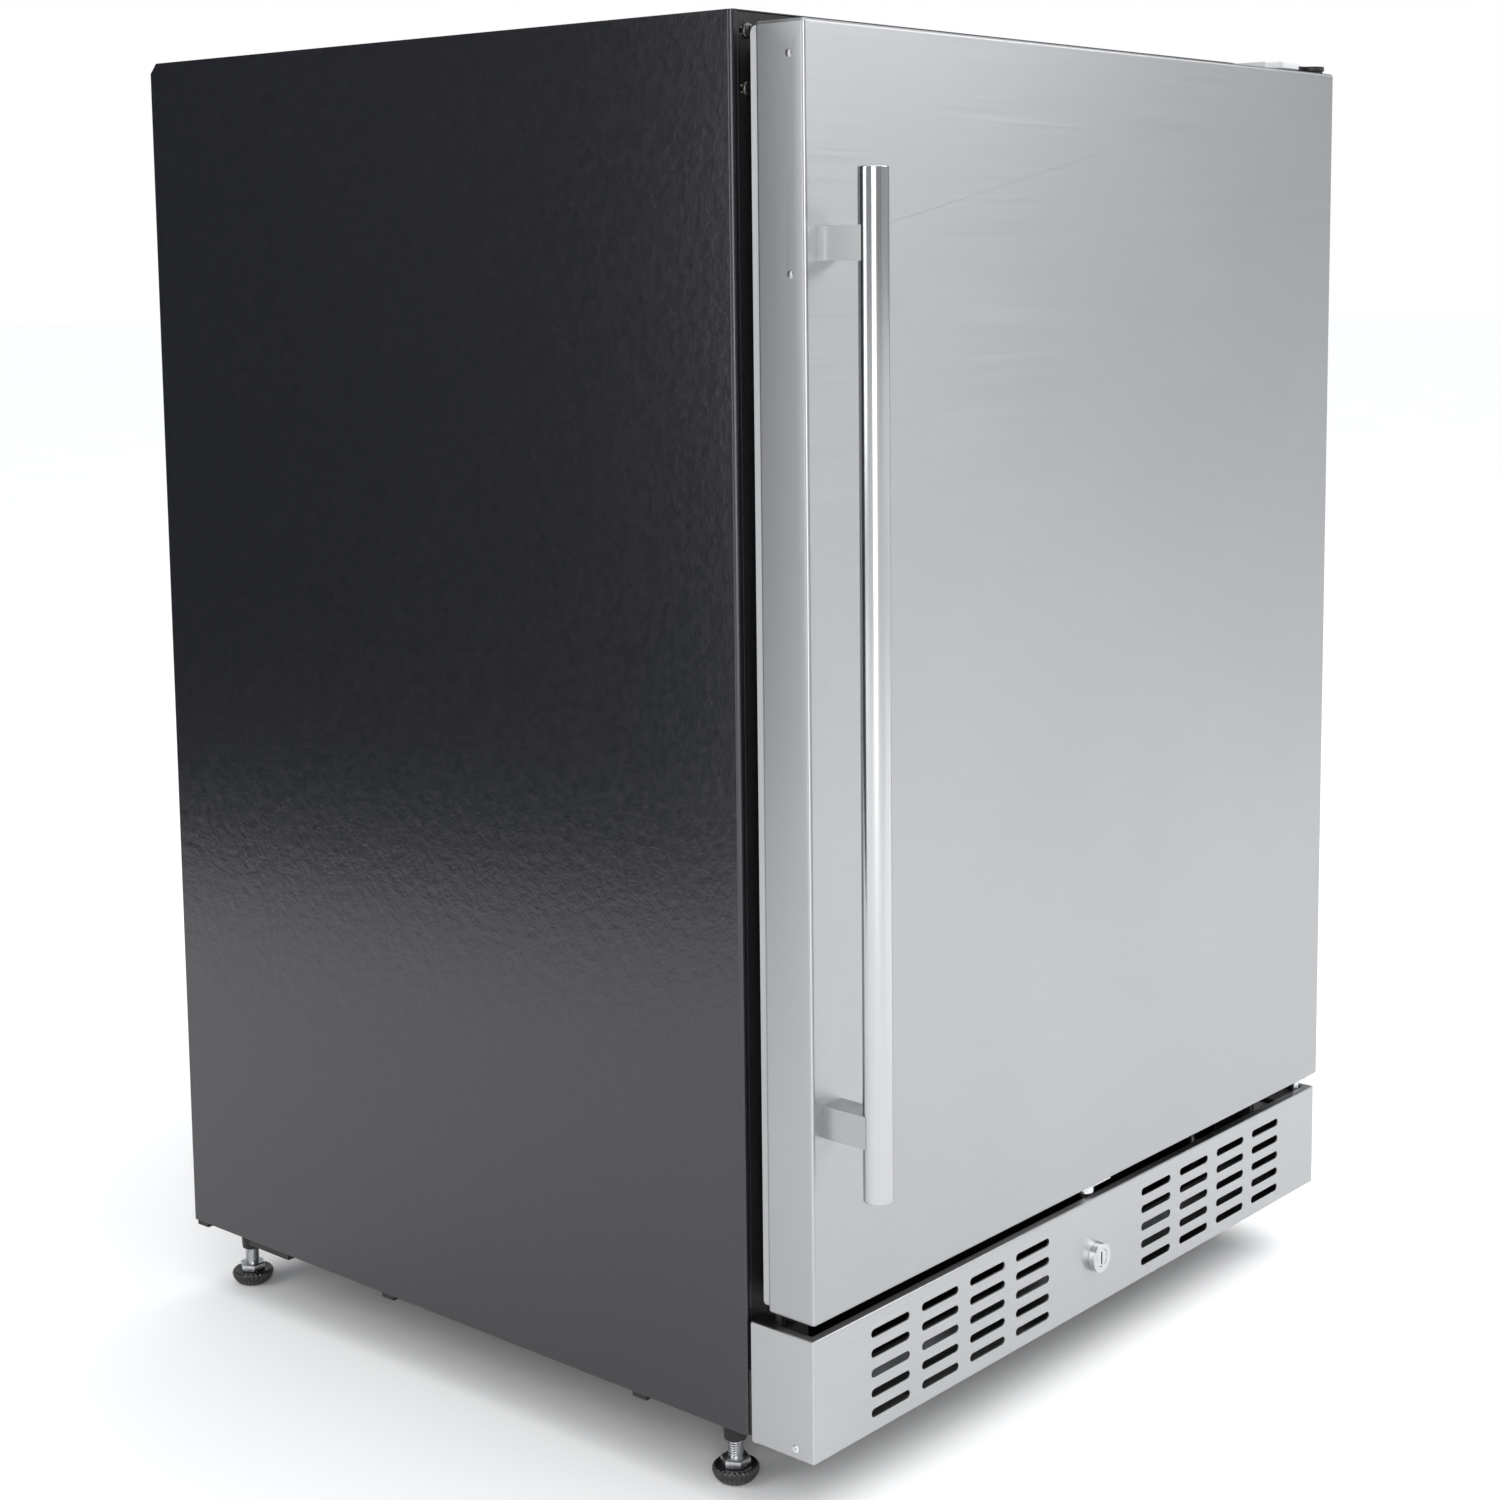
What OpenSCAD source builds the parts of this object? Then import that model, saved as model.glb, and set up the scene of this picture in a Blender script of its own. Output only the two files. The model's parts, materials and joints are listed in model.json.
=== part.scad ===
// Undercounter refrigerator with one solid door, a front-breathing base and four levelling feet.
// Frame: origin on the floor under the centre of the overall box, +X to the hinge side,
// +Y to the back, +Z up. Depths written as d are measured back from the cabinet's front face.

/* [Cabinet] */
// Width of the cabinet
cab_w = 595; // [580:1:610]
// Depth of the cabinet behind its front face
cab_d = 549; // [545:1:570]
// Height of the cabinet's lower edge above the floor
cab_bottom = 50.5; // [50:0.5:52]
// Height of the cabinet's top above the floor
cab_top = 894; // [880:1:910]
// Thickness of the outer steel sheet
sheet = 1.2; // [0.8:0.1:1.4]
// Width of the bevel along the top rear corner
rear_bevel = 7; // [5:1:10]

/* [Door] */
// Width of the door
door_w = 596; // [590:1:600]
// Height of the door's lower edge
door_bottom = 133.5; // [133:0.5:135]
// Height of the door's upper edge
door_top = 885.5; // [880:0.5:886]
// Thickness of the door's steel pan
door_t = 36; // [34:1:38]
// Distance from the cabinet's face to the back of the pan
door_gap = 18; // [17:1:20]
// Distance of the hinge axis in from the door's right edge
hinge_in = 13.5; // [12:0.5:16]
// Distance of the hinge axis in front of the cabinet's face
hinge_out = 42.5; // [40:0.5:44]

/* [Handle] */
// Outer diameter of the handle tube
handle_d = 17.6; // [16:0.2:20]
// Length of the handle tube
handle_len = 590; // [560:1:600]
// Height of the handle's middle
handle_mid_z = 509.2; // [500:1:520]
// Distance between the two handle brackets
bracket_span = 506.5; // [480:0.5:520]
// Width of a handle bracket
bracket_w = 17.5; // [14:0.5:17.5]
// Height of a handle bracket
bracket_h = 19.5; // [16:0.5:24]
// Distance from the door face to the tube's axis
handle_out = 34; // [30:1:38]

/* [Kick plate] */
// Width of the kick plate
kick_w = 593.5; // [590:0.5:594]
// Height of the kick plate's lower edge
kick_bottom = 47.5; // [46:0.5:50]
// Height of the kick plate's upper edge
kick_top = 123.5; // [122:0.5:124]
// Distance from the cabinet's face to the plate's front
kick_out = 52; // [50:1:53]
// Length of a ventilation slot
slot_l = 37.5; // [30:0.5:40]
// Height of a ventilation slot
slot_h = 5.5; // [4:0.5:6]
// Distance between slot columns
slot_pitch_x = 49.8; // [46:0.1:50]
// Distance between slot rows
slot_pitch_z = 12.6; // [11:0.1:13]
// Diameter of the lock's face
lock_d = 20; // [18:1:22]

/* [Feet] */
// Diameter of a foot's pad
foot_d = 30; // [26:1:34]
// Thickness of a foot's pad
foot_h = 11; // [8:1:12]
// Distance of a foot's axis in from the cabinet's side
foot_in = 30; // [28:1:34]
// Distance of the front feet back from the cabinet's face
foot_front_d = 37; // [34:1:40]
// Distance of the rear feet back from the cabinet's face
foot_rear_d = 522; // [515:1:524]

/* [Inside] */
// Height of the lowest shelf's wires
shelf_low_z = 345; // [342:1:350]
// Distance from one shelf up to the next
shelf_pitch = 165; // [150:1:170]
// Number of wires on a shelf
shelf_wires = 25; // [15:1:31]

/* [Hidden] */
$fn = 64;
eps = 0.1;
hx = cab_w / 2;
face_y = -226;                       // y of the cabinet's front face
pan_w = cab_w - 2 * sheet - 0.2;     // width between the side panels
px = pan_w / 2;
door_front = -(door_gap + door_t);
door_mid_z = (door_bottom + door_top) / 2;
door_h = door_top - door_bottom;
hinge_x = door_w / 2 - hinge_in;
handle_x = -hx + 17.5;
handle_r = handle_d / 2;
tube_d = door_front - handle_out;
mouth_x = 255.5;                     // half width of the food space
mouth_low = 165;
mouth_high = 849;
skin = 2.5;                          // thickness of the plastic liner
back_d = 492;                        // depth of the food space
step_d = 268;                        // depth of the floor in front of the step
step_z = 330;                        // height of the step over the machine bay
floor_z = 128.7;                     // underside of the insulated floor
bay_d = 298.7;                       // front of the machine bay
bay_top = 295.7;
fan_x = -185;
fan_z = 162;
fan_r = 73;
evap_fan_z = 720;
evap_fan_r = 38;
duct_d = 455;                        // front of the evaporator cover
comp_x = 120;
comp_d = 425;
comp_r = 74;
lock_z = 82;
lock_throw = 8.5;                    // crank radius of the lock
bolt_r = 3.2;                        // radius of the lock's bolt
foot_xs = [-hx + foot_in, hx - foot_in];
drain_x = -200;
drain_d = 480;
plug_zs = [745, 866.5];              // plugs of the spare holes in the door's left side
plug_r = 2.2;
liner_t = 4.5;                       // thickness of the door liner's flange
fold_w = 5;                          // width of the side sheets' fold around the front edge
kick_screw = [-38, 54];              // depth and height of the kick plate's side screws
shelf_z = [for (i = [0:2]) shelf_low_z + i * shelf_pitch];

// Moves a child to x, depth d behind the cabinet's face, and height z.
module at(x = 0, d = 0, z = 0) {
    translate([x, face_y + d, z]) children();
}

// A box given by its low and high corners, in x, depth and height.
module span(x, d, z) {
    at(x[0], d[0], z[0]) cube([x[1] - x[0], d[1] - d[0], z[1] - z[0]]);
}

// A cylinder along the depth, starting at depth d.
module along_d(x, d, z, r, l) {
    at(x, d, z) rotate([-90, 0, 0]) cylinder(r = r, h = l);
}

// A cylinder along the height, starting at height z.
module along_z(x, d, z, r, l) {
    at(x, d, z) cylinder(r = r, h = l);
}

// A cylinder along the width, starting at x.
module along_x(x, d, z, r, l) {
    at(x, d, z) rotate([0, 90, 0]) cylinder(r = r, h = l);
}

// A (depth, height) outline made w wide about the middle plane.
module side_profile(points, w) {
    at(-w / 2, 0, 0) rotate([90, 0, 90]) linear_extrude(height = w) polygon(points);
}

// A rounded rectangle standing across the depth, from depth d and t thick.
module plate(x, z, d, t, r) {
    at(0, d + t, 0) rotate([90, 0, 0]) linear_extrude(height = t) {
        rounded(x, z, r);
    }
}

// A rectangle with round corners, given by its x and z limits.
module rounded(x, z, r) {
    translate([x[0] + r, z[0]]) square([x[1] - x[0] - 2 * r, z[1] - z[0]]);
    translate([x[0], z[0] + r]) square([x[1] - x[0], z[1] - z[0] - 2 * r]);
    for (cx = [x[0] + r, x[1] - r], cz = [z[0] + r, z[1] - r]) translate([cx, cz]) circle(r = r);
}

// ---- cabinet shell ----

// One side sheet with its bevelled top rear corner, its rear return and its front fold.
module side_panel(side) {
    bevel = rear_bevel;
    outline = [[0, cab_bottom], [cab_d, cab_bottom], [cab_d, cab_top - bevel],
               [cab_d - bevel, cab_top], [0, cab_top]];
    mirror([side < 0 ? 1 : 0, 0, 0]) {
        at(hx - sheet, 0, 0) rotate([90, 0, 90]) linear_extrude(height = sheet) polygon(outline);
        span([hx - 15, hx - sheet], [cab_d - 2.5, cab_d - 1.3], [300, 869]);
        span([hx - fold_w, hx - sheet], [0, sheet], [52.1, cab_top - sheet - eps]);
    }
}

module left_side_panel() { color("#1d1f24") side_panel(-1); }

module right_side_panel() { color("#1d1f24") side_panel(1); }

module top_panel() {
    low = cab_top - sheet;
    back = cab_d - sheet;
    color("#1d1f24") side_profile([
        [0, cab_top], [cab_d - rear_bevel, cab_top], [cab_d, cab_top - rear_bevel],
        [cab_d, 869.2], [back, 869.2], [back, cab_top - rear_bevel - 0.5],
        [cab_d - rear_bevel - 0.5, low], [0, low]], pan_w);
}

module back_panel() {
    color("#2a2b2e") span([-px, px], [cab_d - sheet, cab_d], [300, 869]);
}

// Removable cover of the machine bay, with rows of louvre slots.
module rear_cover() {
    color("#2a2b2e") difference() {
        span([-px, px], [cab_d - sheet, cab_d], [55, 299.5]);
        for (block = [-150, 150], row = [0:7], col = [-1:1])
            along_slot(block + col * 62, 115 + row * 20, cab_d - 5, 50, 6, 10);
        along_d(240, cab_d - 5, 90, 8, 10);
    }
}

// A level slot with round ends that cuts through a sheet across the depth.
module along_slot(x, z, d, l, h, t) {
    span([x - l / 2 + h / 2, x + l / 2 - h / 2], [d, d + t], [z - h / 2, z + h / 2]);
    for (s = [-1, 1]) along_d(x + s * (l - h) / 2, d, z, h / 2, t);
}

// Floor sheet, its side tabs and the two arms that carry the kick plate.
module base_pan() {
    color("#26272a") difference() {
        union() {
            span([-px, px], [2, 546.3], [cab_bottom, cab_bottom + 1.5]);
            for (s = [-1, 1]) mirror([s < 0 ? 1 : 0, 0, 0]) {
                span([284, 295.4], [-35, 3], [cab_bottom, cab_bottom + 1.5]);
                span([292.4, 295.4], [-35, 0], [cab_bottom, 92]);
                for (d = [86, 327, 536]) span([289, 296], [d, d + 12], [46.5, cab_bottom + 1]);
                span([272, 292], [447, 492], [43, cab_bottom + 1]);
            }
        }
        for (x = foot_xs, d = [foot_front_d, foot_rear_d]) along_z(x, d, 40, 6, 30);
    }
}

// Steel face of the cabinet, with the door mouth and the air opening behind the kick plate.
module front_frame() {
    half = hx - fold_w - eps;
    color("#101113") difference() {
        span([-half, half], [0, 1.5], [52.1, cab_top - sheet - eps]);
        span([-mouth_x, mouth_x], [-1, 3], [mouth_low, mouth_high]);
        span([-240, 240], [-1, 3], [60, 112]);
        screw_places() along_d(0, -1, 0, 2.5, 4);
    }
}

// Plastic strip around the door mouth.
module breaker_frame() {
    color("#d9dadb") difference() {
        union() {
            plate([-262, 262], [mouth_low - 6.5, mouth_high + 6.5], -1.2, 1.2, 6);
            plate([-mouth_x, mouth_x], [mouth_low, mouth_high], 0, 14, 2);
        }
        plate([-mouth_x + skin, mouth_x - skin], [mouth_low + skin, mouth_high - skin], -3, 20, 2);
    }
}

module inner_liner() {
    outside = [[1.6, mouth_low - skin], [step_d + skin, mouth_low - skin],
               [step_d + skin, step_z - skin], [back_d + skin, step_z - skin],
               [back_d + skin, mouth_high + skin], [1.6, mouth_high + skin]];
    inside = [[0, mouth_low], [step_d, mouth_low], [step_d, step_z], [back_d, step_z],
              [back_d, mouth_high], [0, mouth_high]];
    color("#e9eaeb") difference() {
        side_profile(outside, 2 * (mouth_x + skin));
        side_profile(inside, 2 * mouth_x);
        along_z(drain_x, drain_d, step_z - 10, 6.1, 20);
    }
}

module foam_insulation() {
    top = cab_top - sheet - eps;
    outside = [[1.6, floor_z + 1.3], [bay_d - eps, floor_z + 1.3], [bay_d - eps, bay_top + 1.3],
               [cab_d - 2.6, bay_top + 1.3], [cab_d - 2.6, cab_top - 7.6], [cab_d - 8.6, top],
               [1.6, top]];
    hollow = [[0, mouth_low - skin], [step_d + skin, mouth_low - skin],
              [step_d + skin, step_z - skin], [back_d + skin, step_z - skin],
              [back_d + skin, mouth_high + skin], [0, mouth_high + skin]];
    color("#e8d9a0") difference() {
        side_profile(outside, pan_w);
        side_profile(hollow, 2 * (mouth_x + skin));
        along_z(drain_x, drain_d, 280, 6.2, 60);
        screw_places() along_d(0, 0, 0, 2.6, 14);
    }
}

// Bent sheet that closes the insulation off from the base and the machine bay.
module machine_bay_wall() {
    color("#8d9093") difference() {
        side_profile([
            [1.6, floor_z], [bay_d + sheet, floor_z], [bay_d + sheet, bay_top],
            [cab_d - 2.6, bay_top], [cab_d - 2.6, bay_top + sheet], [bay_d, bay_top + sheet],
            [bay_d, floor_z + sheet], [1.6, floor_z + sheet]], pan_w);
        along_z(drain_x, drain_d, 280, 6.2, 30);
    }
}

// ---- cooling system in the machine bay ----

// Welded shell with domed ends, mounting plate and two pipe stubs.
module compressor() {
    color("#17181a") {
        intersection() {
            along_z(comp_x, comp_d, 84, comp_r, 160);
            at(comp_x, comp_d, 124) sphere(r = 118, $fn = 96);
            at(comp_x, comp_d, 200) sphere(r = 118, $fn = 96);
        }
        along_z(comp_x, comp_d, 160, comp_r + 2.5, 6);
        for (s = [-1, 1]) {
            along_z(comp_x + s * 20, comp_d, 225, 4, 35);
            span([comp_x - 90, comp_x + 90], [comp_d + s * 50 - 16, comp_d + s * 50 + 16], [76, 79]);
            span([comp_x - 30, comp_x + 30], [comp_d + s * 50 - 12, comp_d + s * 50 + 12], [79, 100]);
        }
    }
}

module compressor_grommets() {
    color("#111213") for (x = [-78, 78], d = [-50, 50]) {
        along_z(comp_x + x, comp_d + d, 52, 12, 10);
        along_z(comp_x + x, comp_d + d, 61, 9, 15);
    }
}

module start_relay_box() {
    color("#2b2c2e") difference() {
        span([180, 224], [400, 450], [110, 156]);
        along_z(comp_x, comp_d, 100, comp_r + 0.4, 80);
    }
}

// Serpentine tube through upright fins.
module condenser_coil() {
    rows = [0:5];
    color("#b0846a") {
        for (i = rows, d = [326, 349]) along_x(-272, d, 82 + i * 30, 4, 178);
        for (i = rows, x = [-272, -94])
            at(x, 337.5, 82 + i * 30) rotate([90, 0, 0]) u_bend(x < -200 ? 1 : -1);
        for (i = [0:23]) span([-266 + i * 7, -265.2 + i * 7], [315, 360], [70, 244]);
    }
}

// Half ring that joins two neighbouring tubes.
module u_bend(side) {
    rotate([-90, side > 0 ? 0 : 180, 0]) rotate([0, 0, 90]) {
        rotate_extrude(angle = 180) translate([11.5, 0]) circle(r = 4, $fn = 24);
    }
}

module condenser_fan_shroud() {
    color("#222326") {
        difference() {
            span([-282, -88], [366, 368], [62, 262]);
            along_d(fan_x, 360, fan_z, fan_r + 4, 20);
        }
        difference() {
            along_d(fan_x, 366, fan_z, fan_r + 6, 22);
            along_d(fan_x, 360, fan_z, fan_r + 4, 40);
        }
        for (a = [45:90:315]) at(fan_x, 0, fan_z) rotate([0, a, 0]) translate([88, 367, 0])
            rotate([-90, 0, 0]) cylinder(r = 4, h = 40);
    }
}

module condenser_fan_motor() {
    color("#3a3b3e") {
        along_d(fan_x, 402, fan_z, 30, 42);
        along_d(fan_x, 398, fan_z, 9, 5);
        along_d(fan_x, 378, fan_z, 2.5, 22);
        for (a = [45:90:315]) at(fan_x, 0, fan_z) rotate([0, a, 0]) translate([20, 407.1, -6])
            cube([74, 3, 12]);
    }
}

// Fan wheel on an axis along the depth: a bored hub and pitched blades.
module fan_wheel(x, z, d, r, hub_r, depth, blades, pitch, bore_r) {
    at(x, d, z) rotate([-90, 0, 0]) difference() {
        union() {
            cylinder(r = hub_r, h = depth);
            intersection() {
                cylinder(r = r, h = depth);
                for (k = [0:blades - 1]) rotate([0, 0, k * 360 / blades])
                    translate([hub_r / 2, 0, depth / 2]) rotate([pitch, 0, 0])
                        translate([0, -r * 0.3, -1]) cube([r, r * 0.6, 2]);
            }
        }
        translate([0, 0, -1]) cylinder(r = bore_r, h = depth + 2);
    }
}

module condenser_fan() {
    color("#2f3033") fan_wheel(fan_x, fan_z, 374, fan_r, 20, 20, 5, 24, 2.56);
}

module filter_drier() {
    color("#b5713f") {
        along_z(-55, 338, 110, 10, 90);
        at(-55, 338, 200) cylinder(r1 = 10, r2 = 3, h = 12);
        at(-55, 338, 98) cylinder(r1 = 3, r2 = 10, h = 12);
    }
}

// Round tube through a list of points, with a ball at each corner.
module tube_path(points, r) {
    for (i = [0:len(points) - 2]) {
        step = points[i + 1] - points[i];
        length = norm(step);
        turn = [0, acos(step[2] / length), atan2(step[1], step[0])];
        translate(points[i]) rotate(turn) cylinder(r = r, h = length, $fn = 24);
    }
    for (i = [1:len(points) - 2]) translate(points[i]) sphere(r = r * 1.02, $fn = 24);
}

module refrigerant_lines() {
    top = 280;
    color("#b5713f") translate([0, face_y, 0]) {
        tube_path([[comp_x - 20, comp_d, 260.1], [comp_x - 20, comp_d, top], [comp_x - 20, 338, top],
                   [-70, 338, top], [-70, 338, 232], [-78.3, 338, 232]], 3);
        tube_path([[comp_x + 20, comp_d, 260.1], [comp_x + 20, comp_d, top],
                   [comp_x + 20, drain_d, top], [comp_x + 20, drain_d, 295.6]], 4);
        tube_path([[-78.3, 338, 82], [-55, 338, 82], [-55, 338, 97.9]], 3);
        tube_path([[-55, 338, 212.1], [-55, 338, 255], [-55, 325, 255], [-55, 325, 295.6]], 1.6);
    }
}

// Shallow tray that catches and evaporates the defrost water.
module drain_pan() {
    color("#c9cacc") difference() {
        span([-245, -25], [392, 520], [54, 78]);
        span([-243, -27], [394, 518], [56, 90]);
    }
}

module drain_tube() {
    color("#8a8c90") difference() {
        union() {
            along_z(drain_x, drain_d, 100, 5.9, 230);
            along_z(drain_x, drain_d, step_z, 10, 1.5);
        }
        along_z(drain_x, drain_d, 90, 4, 260);
    }
}

module mains_junction_box() {
    color("#38393c") {
        span([225, 285], [470, 530], [110, 190]);
        span([225, 285], [530, 546.4], [150, 160]);
    }
}

// Bush in the rear cover that guides the supply lead.
module cord_gland() {
    color("#0c0d0e") difference() {
        union() {
            along_d(240, cab_d - 3.2, 90, 11, 1.9);
            along_d(240, cab_d - 1.4, 90, 7.9, 1.4);
            along_d(240, cab_d - 20, 90, 7, 17);
        }
        along_d(240, cab_d - 30, 90, 4.5, 60);
    }
}

// ---- inside the food space ----

// Shell over the evaporator, with the fan hole above and return slots below.
module evaporator_cover() {
    color("#f1f2f2") difference() {
        plate([-210, 210], [345, 835], duct_d, back_d - duct_d - eps, 12);
        plate([-207.5, 207.5], [347.5, 832.5], duct_d + skin, 60, 9.5);
        along_d(0, duct_d - 5, evap_fan_z, evap_fan_r + 4, 20);
        for (row = [0:4], col = [-2:2]) along_slot(col * 70, 362 + row * 13, duct_d - 5, 54, 5, 10);
        for (row = [0:2], s = [-1, 1]) along_slot(s * 140, 700 + row * 16, duct_d - 5, 60, 5, 10);
    }
}

module evaporator_coil() {
    color("#c3c6c9") {
        for (i = [0:4]) along_x(-182, 476, 460 + i * 26, 4, 364);
        for (i = [0:39]) span([-175 + i * 9, -174.2 + i * 9], [464, 489], [446, 578]);
    }
}

module evaporator_fan_motor() {
    color("#333437") {
        along_d(0, 474, evap_fan_z, 20, 17.9);
        along_d(0, 464, evap_fan_z, 1.5, 11);
        span([-70, 70], [488, back_d - eps], [evap_fan_z - 8, evap_fan_z + 8]);
    }
}

// Round guard of rings on spokes, in front of the fan hole.
module evaporator_fan_grille() {
    color("#dfe0e1") {
        for (r = [10, 19, 28, 37, 46]) at(0, duct_d - 3, evap_fan_z) rotate([-90, 0, 0])
            difference() {
                cylinder(r = r, h = 2.9);
                translate([0, 0, -1]) cylinder(r = r - 2.4, h = 6);
            }
        for (a = [0:45:315]) at(0, duct_d - 2.6, evap_fan_z) rotate([0, a, 0])
            translate([7, 0, -1]) cube([38, 2.2, 2]);
    }
}

module evaporator_fan() {
    color("#e6e7e8") fan_wheel(0, evap_fan_z, 460.5, evap_fan_r, 11, 11, 5, 22, 1.56);
}

// Four slotted strips on the liner's walls and the clips that carry the shelves.
module shelf_pilasters() {
    inner = mouth_x - eps;
    color("#cfd1d3") for (s = [-1, 1]) mirror([s < 0 ? 1 : 0, 0, 0]) {
        for (d = [70, 400]) difference() {
            span([inner - 3, inner], [d, d + 16], [335, 820]);
            for (z = [350:15:810]) span([inner - 5, inner + 1], [d + 5, d + 11], [z, z + 8]);
        }
        for (d = [70, 400], z = shelf_z) span([inner - 12, inner - 3], [d + 2, d + 14], [z - 12, z - 4]);
    }
}

// Wire shelf: a frame with a front rail and wires running front to back.
module wire_shelf(z) {
    half = 246;
    front = 26;
    back = 446;
    gap = 2 * (half - 6) / (shelf_wires - 1);
    color("#d4d6d8") {
        for (x = [-half, half]) at(x, front, z) rotate([-90, 0, 0])
            cylinder(r = 3, h = back - front, $fn = 8);
        for (d = [front, 166, 306, back]) at(-half, d, z) rotate([0, 90, 0])
            cylinder(r = 3, h = 2 * half, $fn = 8);
        for (i = [0:shelf_wires - 1]) at(-half + 6 + i * gap, front, z + 3) rotate([-90, 0, 0])
            cylinder(r = 1.7, h = back - front, $fn = 6);
    }
}

module shelf_lower() { wire_shelf(shelf_z[0]); }

module shelf_middle() { wire_shelf(shelf_z[1]); }

module shelf_upper() { wire_shelf(shelf_z[2]); }

module light_housing() {
    color("#e4e5e6") difference() {
        span([-130, 130], [24, 50], [838, mouth_high - skin - 0.2]);
        span([-126, 126], [27, 47], [836, 842]);
    }
}

module light_lens() {
    color("#fffbe8") span([-125.8, 125.8], [27.2, 46.8], [836.5, 841.9]);
}

// Ceiling box that holds the thermostat, with a bored boss for the knob's shaft.
module control_box() {
    color("#dadbdd") {
        difference() {
            span([-95, 95], [95, 200], [814, mouth_high - eps]);
            span([-92, 92], [98, 197], [817, 846]);
            along_d(55, 90, 831, 3.1, 20);
        }
        difference() {
            along_d(55, 97, 831, 9, 12);
            along_d(55, 90, 831, 3.1, 30);
        }
    }
}

module thermostat_knob() {
    color("#2b2c2f") difference() {
        union() {
            along_d(55, 80, 831, 13, 14.7);
            span([53.5, 56.5], [78.5, 84], [819, 843.5]);
            along_d(55, 92, 831, 3.05, 16);
        }
        for (a = [15:30:345]) at(55, 0, 831) rotate([0, a, 0]) translate([14, 78, 0])
            rotate([-90, 0, 0]) cylinder(r = 1.8, h = 12, $fn = 16);
    }
}

// ---- hinges ----

// Holes of the hinge screws, and of the spare ones on the handle side.
module screw_places() {
    for (x = [hx - 9.5, -hx + 9.5], z = [882.5, 850]) translate([x, 0, z]) children();
    for (x = [hx - 24, -hx + 24], z = [92, 108]) translate([x, 0, z]) children();
}

// Plate over the door with its pin, bent down onto the cabinet's face.
module top_hinge_bracket() {
    color("#17181a") difference() {
        union() {
            span([hx - 38, hx - 3], [-hinge_out, 0], [887.3, 890.3]);
            along_z(hinge_x, -hinge_out, 887.3, 9.5, 3);
            span([hx - 15.5, hx - 1.5], [-3, 0], [838, 890.3]);
            along_z(hinge_x, -hinge_out, 868, 3, 22);
        }
        screw_places() along_d(0, -5, 0, 2.5, 10);
    }
}

module hinge_cover() {
    color("#d8dadc") difference() {
        span([hx - 72, hx - 40], [-48, -0.2], [886.8, 891.6]);
        along_z(hx - 72, -48, 880, 9, 20);
    }
}

module bottom_hinge_bracket() {
    color("#17181a") difference() {
        union() {
            span([hx - 38, hx - 6], [-hinge_out, 0], [115.5, 119.5]);
            along_z(hinge_x, -hinge_out, 115.5, 7.5, 4);
            span([hx - 38, hx - 10], [-3, 0], [84, 119.5]);
            along_z(hinge_x, -hinge_out, 117, 3, 34);
        }
        screw_places() along_d(0, -5, 0, 2.5, 10);
    }
}

// A pan-head screw standing on a face at depth d, with its shank going back.
module face_screw(x, z, d, shank) {
    along_d(x, d - 2.4, z, 4.6, 2.4);
    along_d(x, d - 0.1, z, 2.4, shank);
}

module cabinet_screws() {
    color("#9b9da0") {
        for (z = [882.5, 850]) {
            face_screw(hx - 9.5, z, -3, 12);
            face_screw(-hx + 9.5, z, 0, 9);
        }
        for (z = [92, 108]) {
            face_screw(hx - 24, z, -3, 12);
            face_screw(-hx + 24, z, 0, 9);
        }
        for (s = [-1, 1]) mirror([s < 0 ? 1 : 0, 0, 0]) {
            along_x(kick_w / 2, kick_screw[0], kick_screw[1], 2.6, 0.9);
            along_x(kick_w / 2 - 5, kick_screw[0], kick_screw[1], 1.6, 5.2);
        }
    }
}

// Small bracket with an upright stop under the handle side of the door.
module door_stop() {
    color("#101112") {
        span([-292, -279], [-2.5, 0], [100, 122]);
        span([-290, -279], [-24, 0], [119.5, 122]);
        along_z(-284.5, -16, 121, 3, 10);
    }
}

// ---- kick plate and lock ----

module kick_plate() {
    half = kick_w / 2;
    mid_z = (kick_top + kick_bottom) / 2;
    color("#b9bbbe") difference() {
        union() {
            span([-half, half], [-kick_out, -kick_out + sheet], [kick_bottom, kick_top]);
            span([-half, half], [-kick_out, -kick_out + 6], [kick_top - sheet, kick_top]);
            span([-half, half], [-kick_out, -4], [kick_bottom, kick_bottom + sheet]);
            span([-283, 283], [-4 - sheet, -4], [kick_bottom, kick_bottom + 9]);
            for (s = [0, 1]) mirror([s, 0, 0]) {
                span([half - sheet, half], [-kick_out, -3.2], [kick_bottom, kick_top]);
                span([half - 6, half], [-kick_out, -3.2], [kick_top - sheet, kick_top]);
                span([half - 9, half], [-4 - sheet, -3.2], [92.5, 110]);
            }
        }
        for (block = [-1, 1], col = [-1.5:1:1.5], row = [-2:2])
            along_slot(block * 149.2 + col * slot_pitch_x, mid_z - 0.7 + row * slot_pitch_z,
                       -kick_out - 4, slot_l, slot_h, 8);
        along_d(0, -kick_out - 4, lock_z, 8.1, 10);
        for (x = [-half, half]) along_x(x - 5, kick_screw[0], kick_screw[1], 2, 10);
    }
}

// Barrel with its face ring, its nut and the arm that guides the bolt.
module lock_housing() {
    color("#d5d7da") difference() {
        union() {
            along_d(0, -kick_out - 5, lock_z, lock_d / 2, 5);
            along_d(0, -kick_out - 1, lock_z, 8, 13);
            at(0, -kick_out + sheet, lock_z) rotate([-90, 0, 0]) cylinder(r = 12.5, h = 4, $fn = 6);
            span([-9, 9], [-kick_out + sheet, -kick_out + 3], [88, 118]);
            span([-9, 9], [-kick_out + sheet, -36.5], [113.5, 117.5]);
        }
        along_d(0, -kick_out - 9, lock_z, 6.06, 40);
        along_z(0, -hinge_out, 100, bolt_r + 0.06, 30);
    }
}

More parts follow.
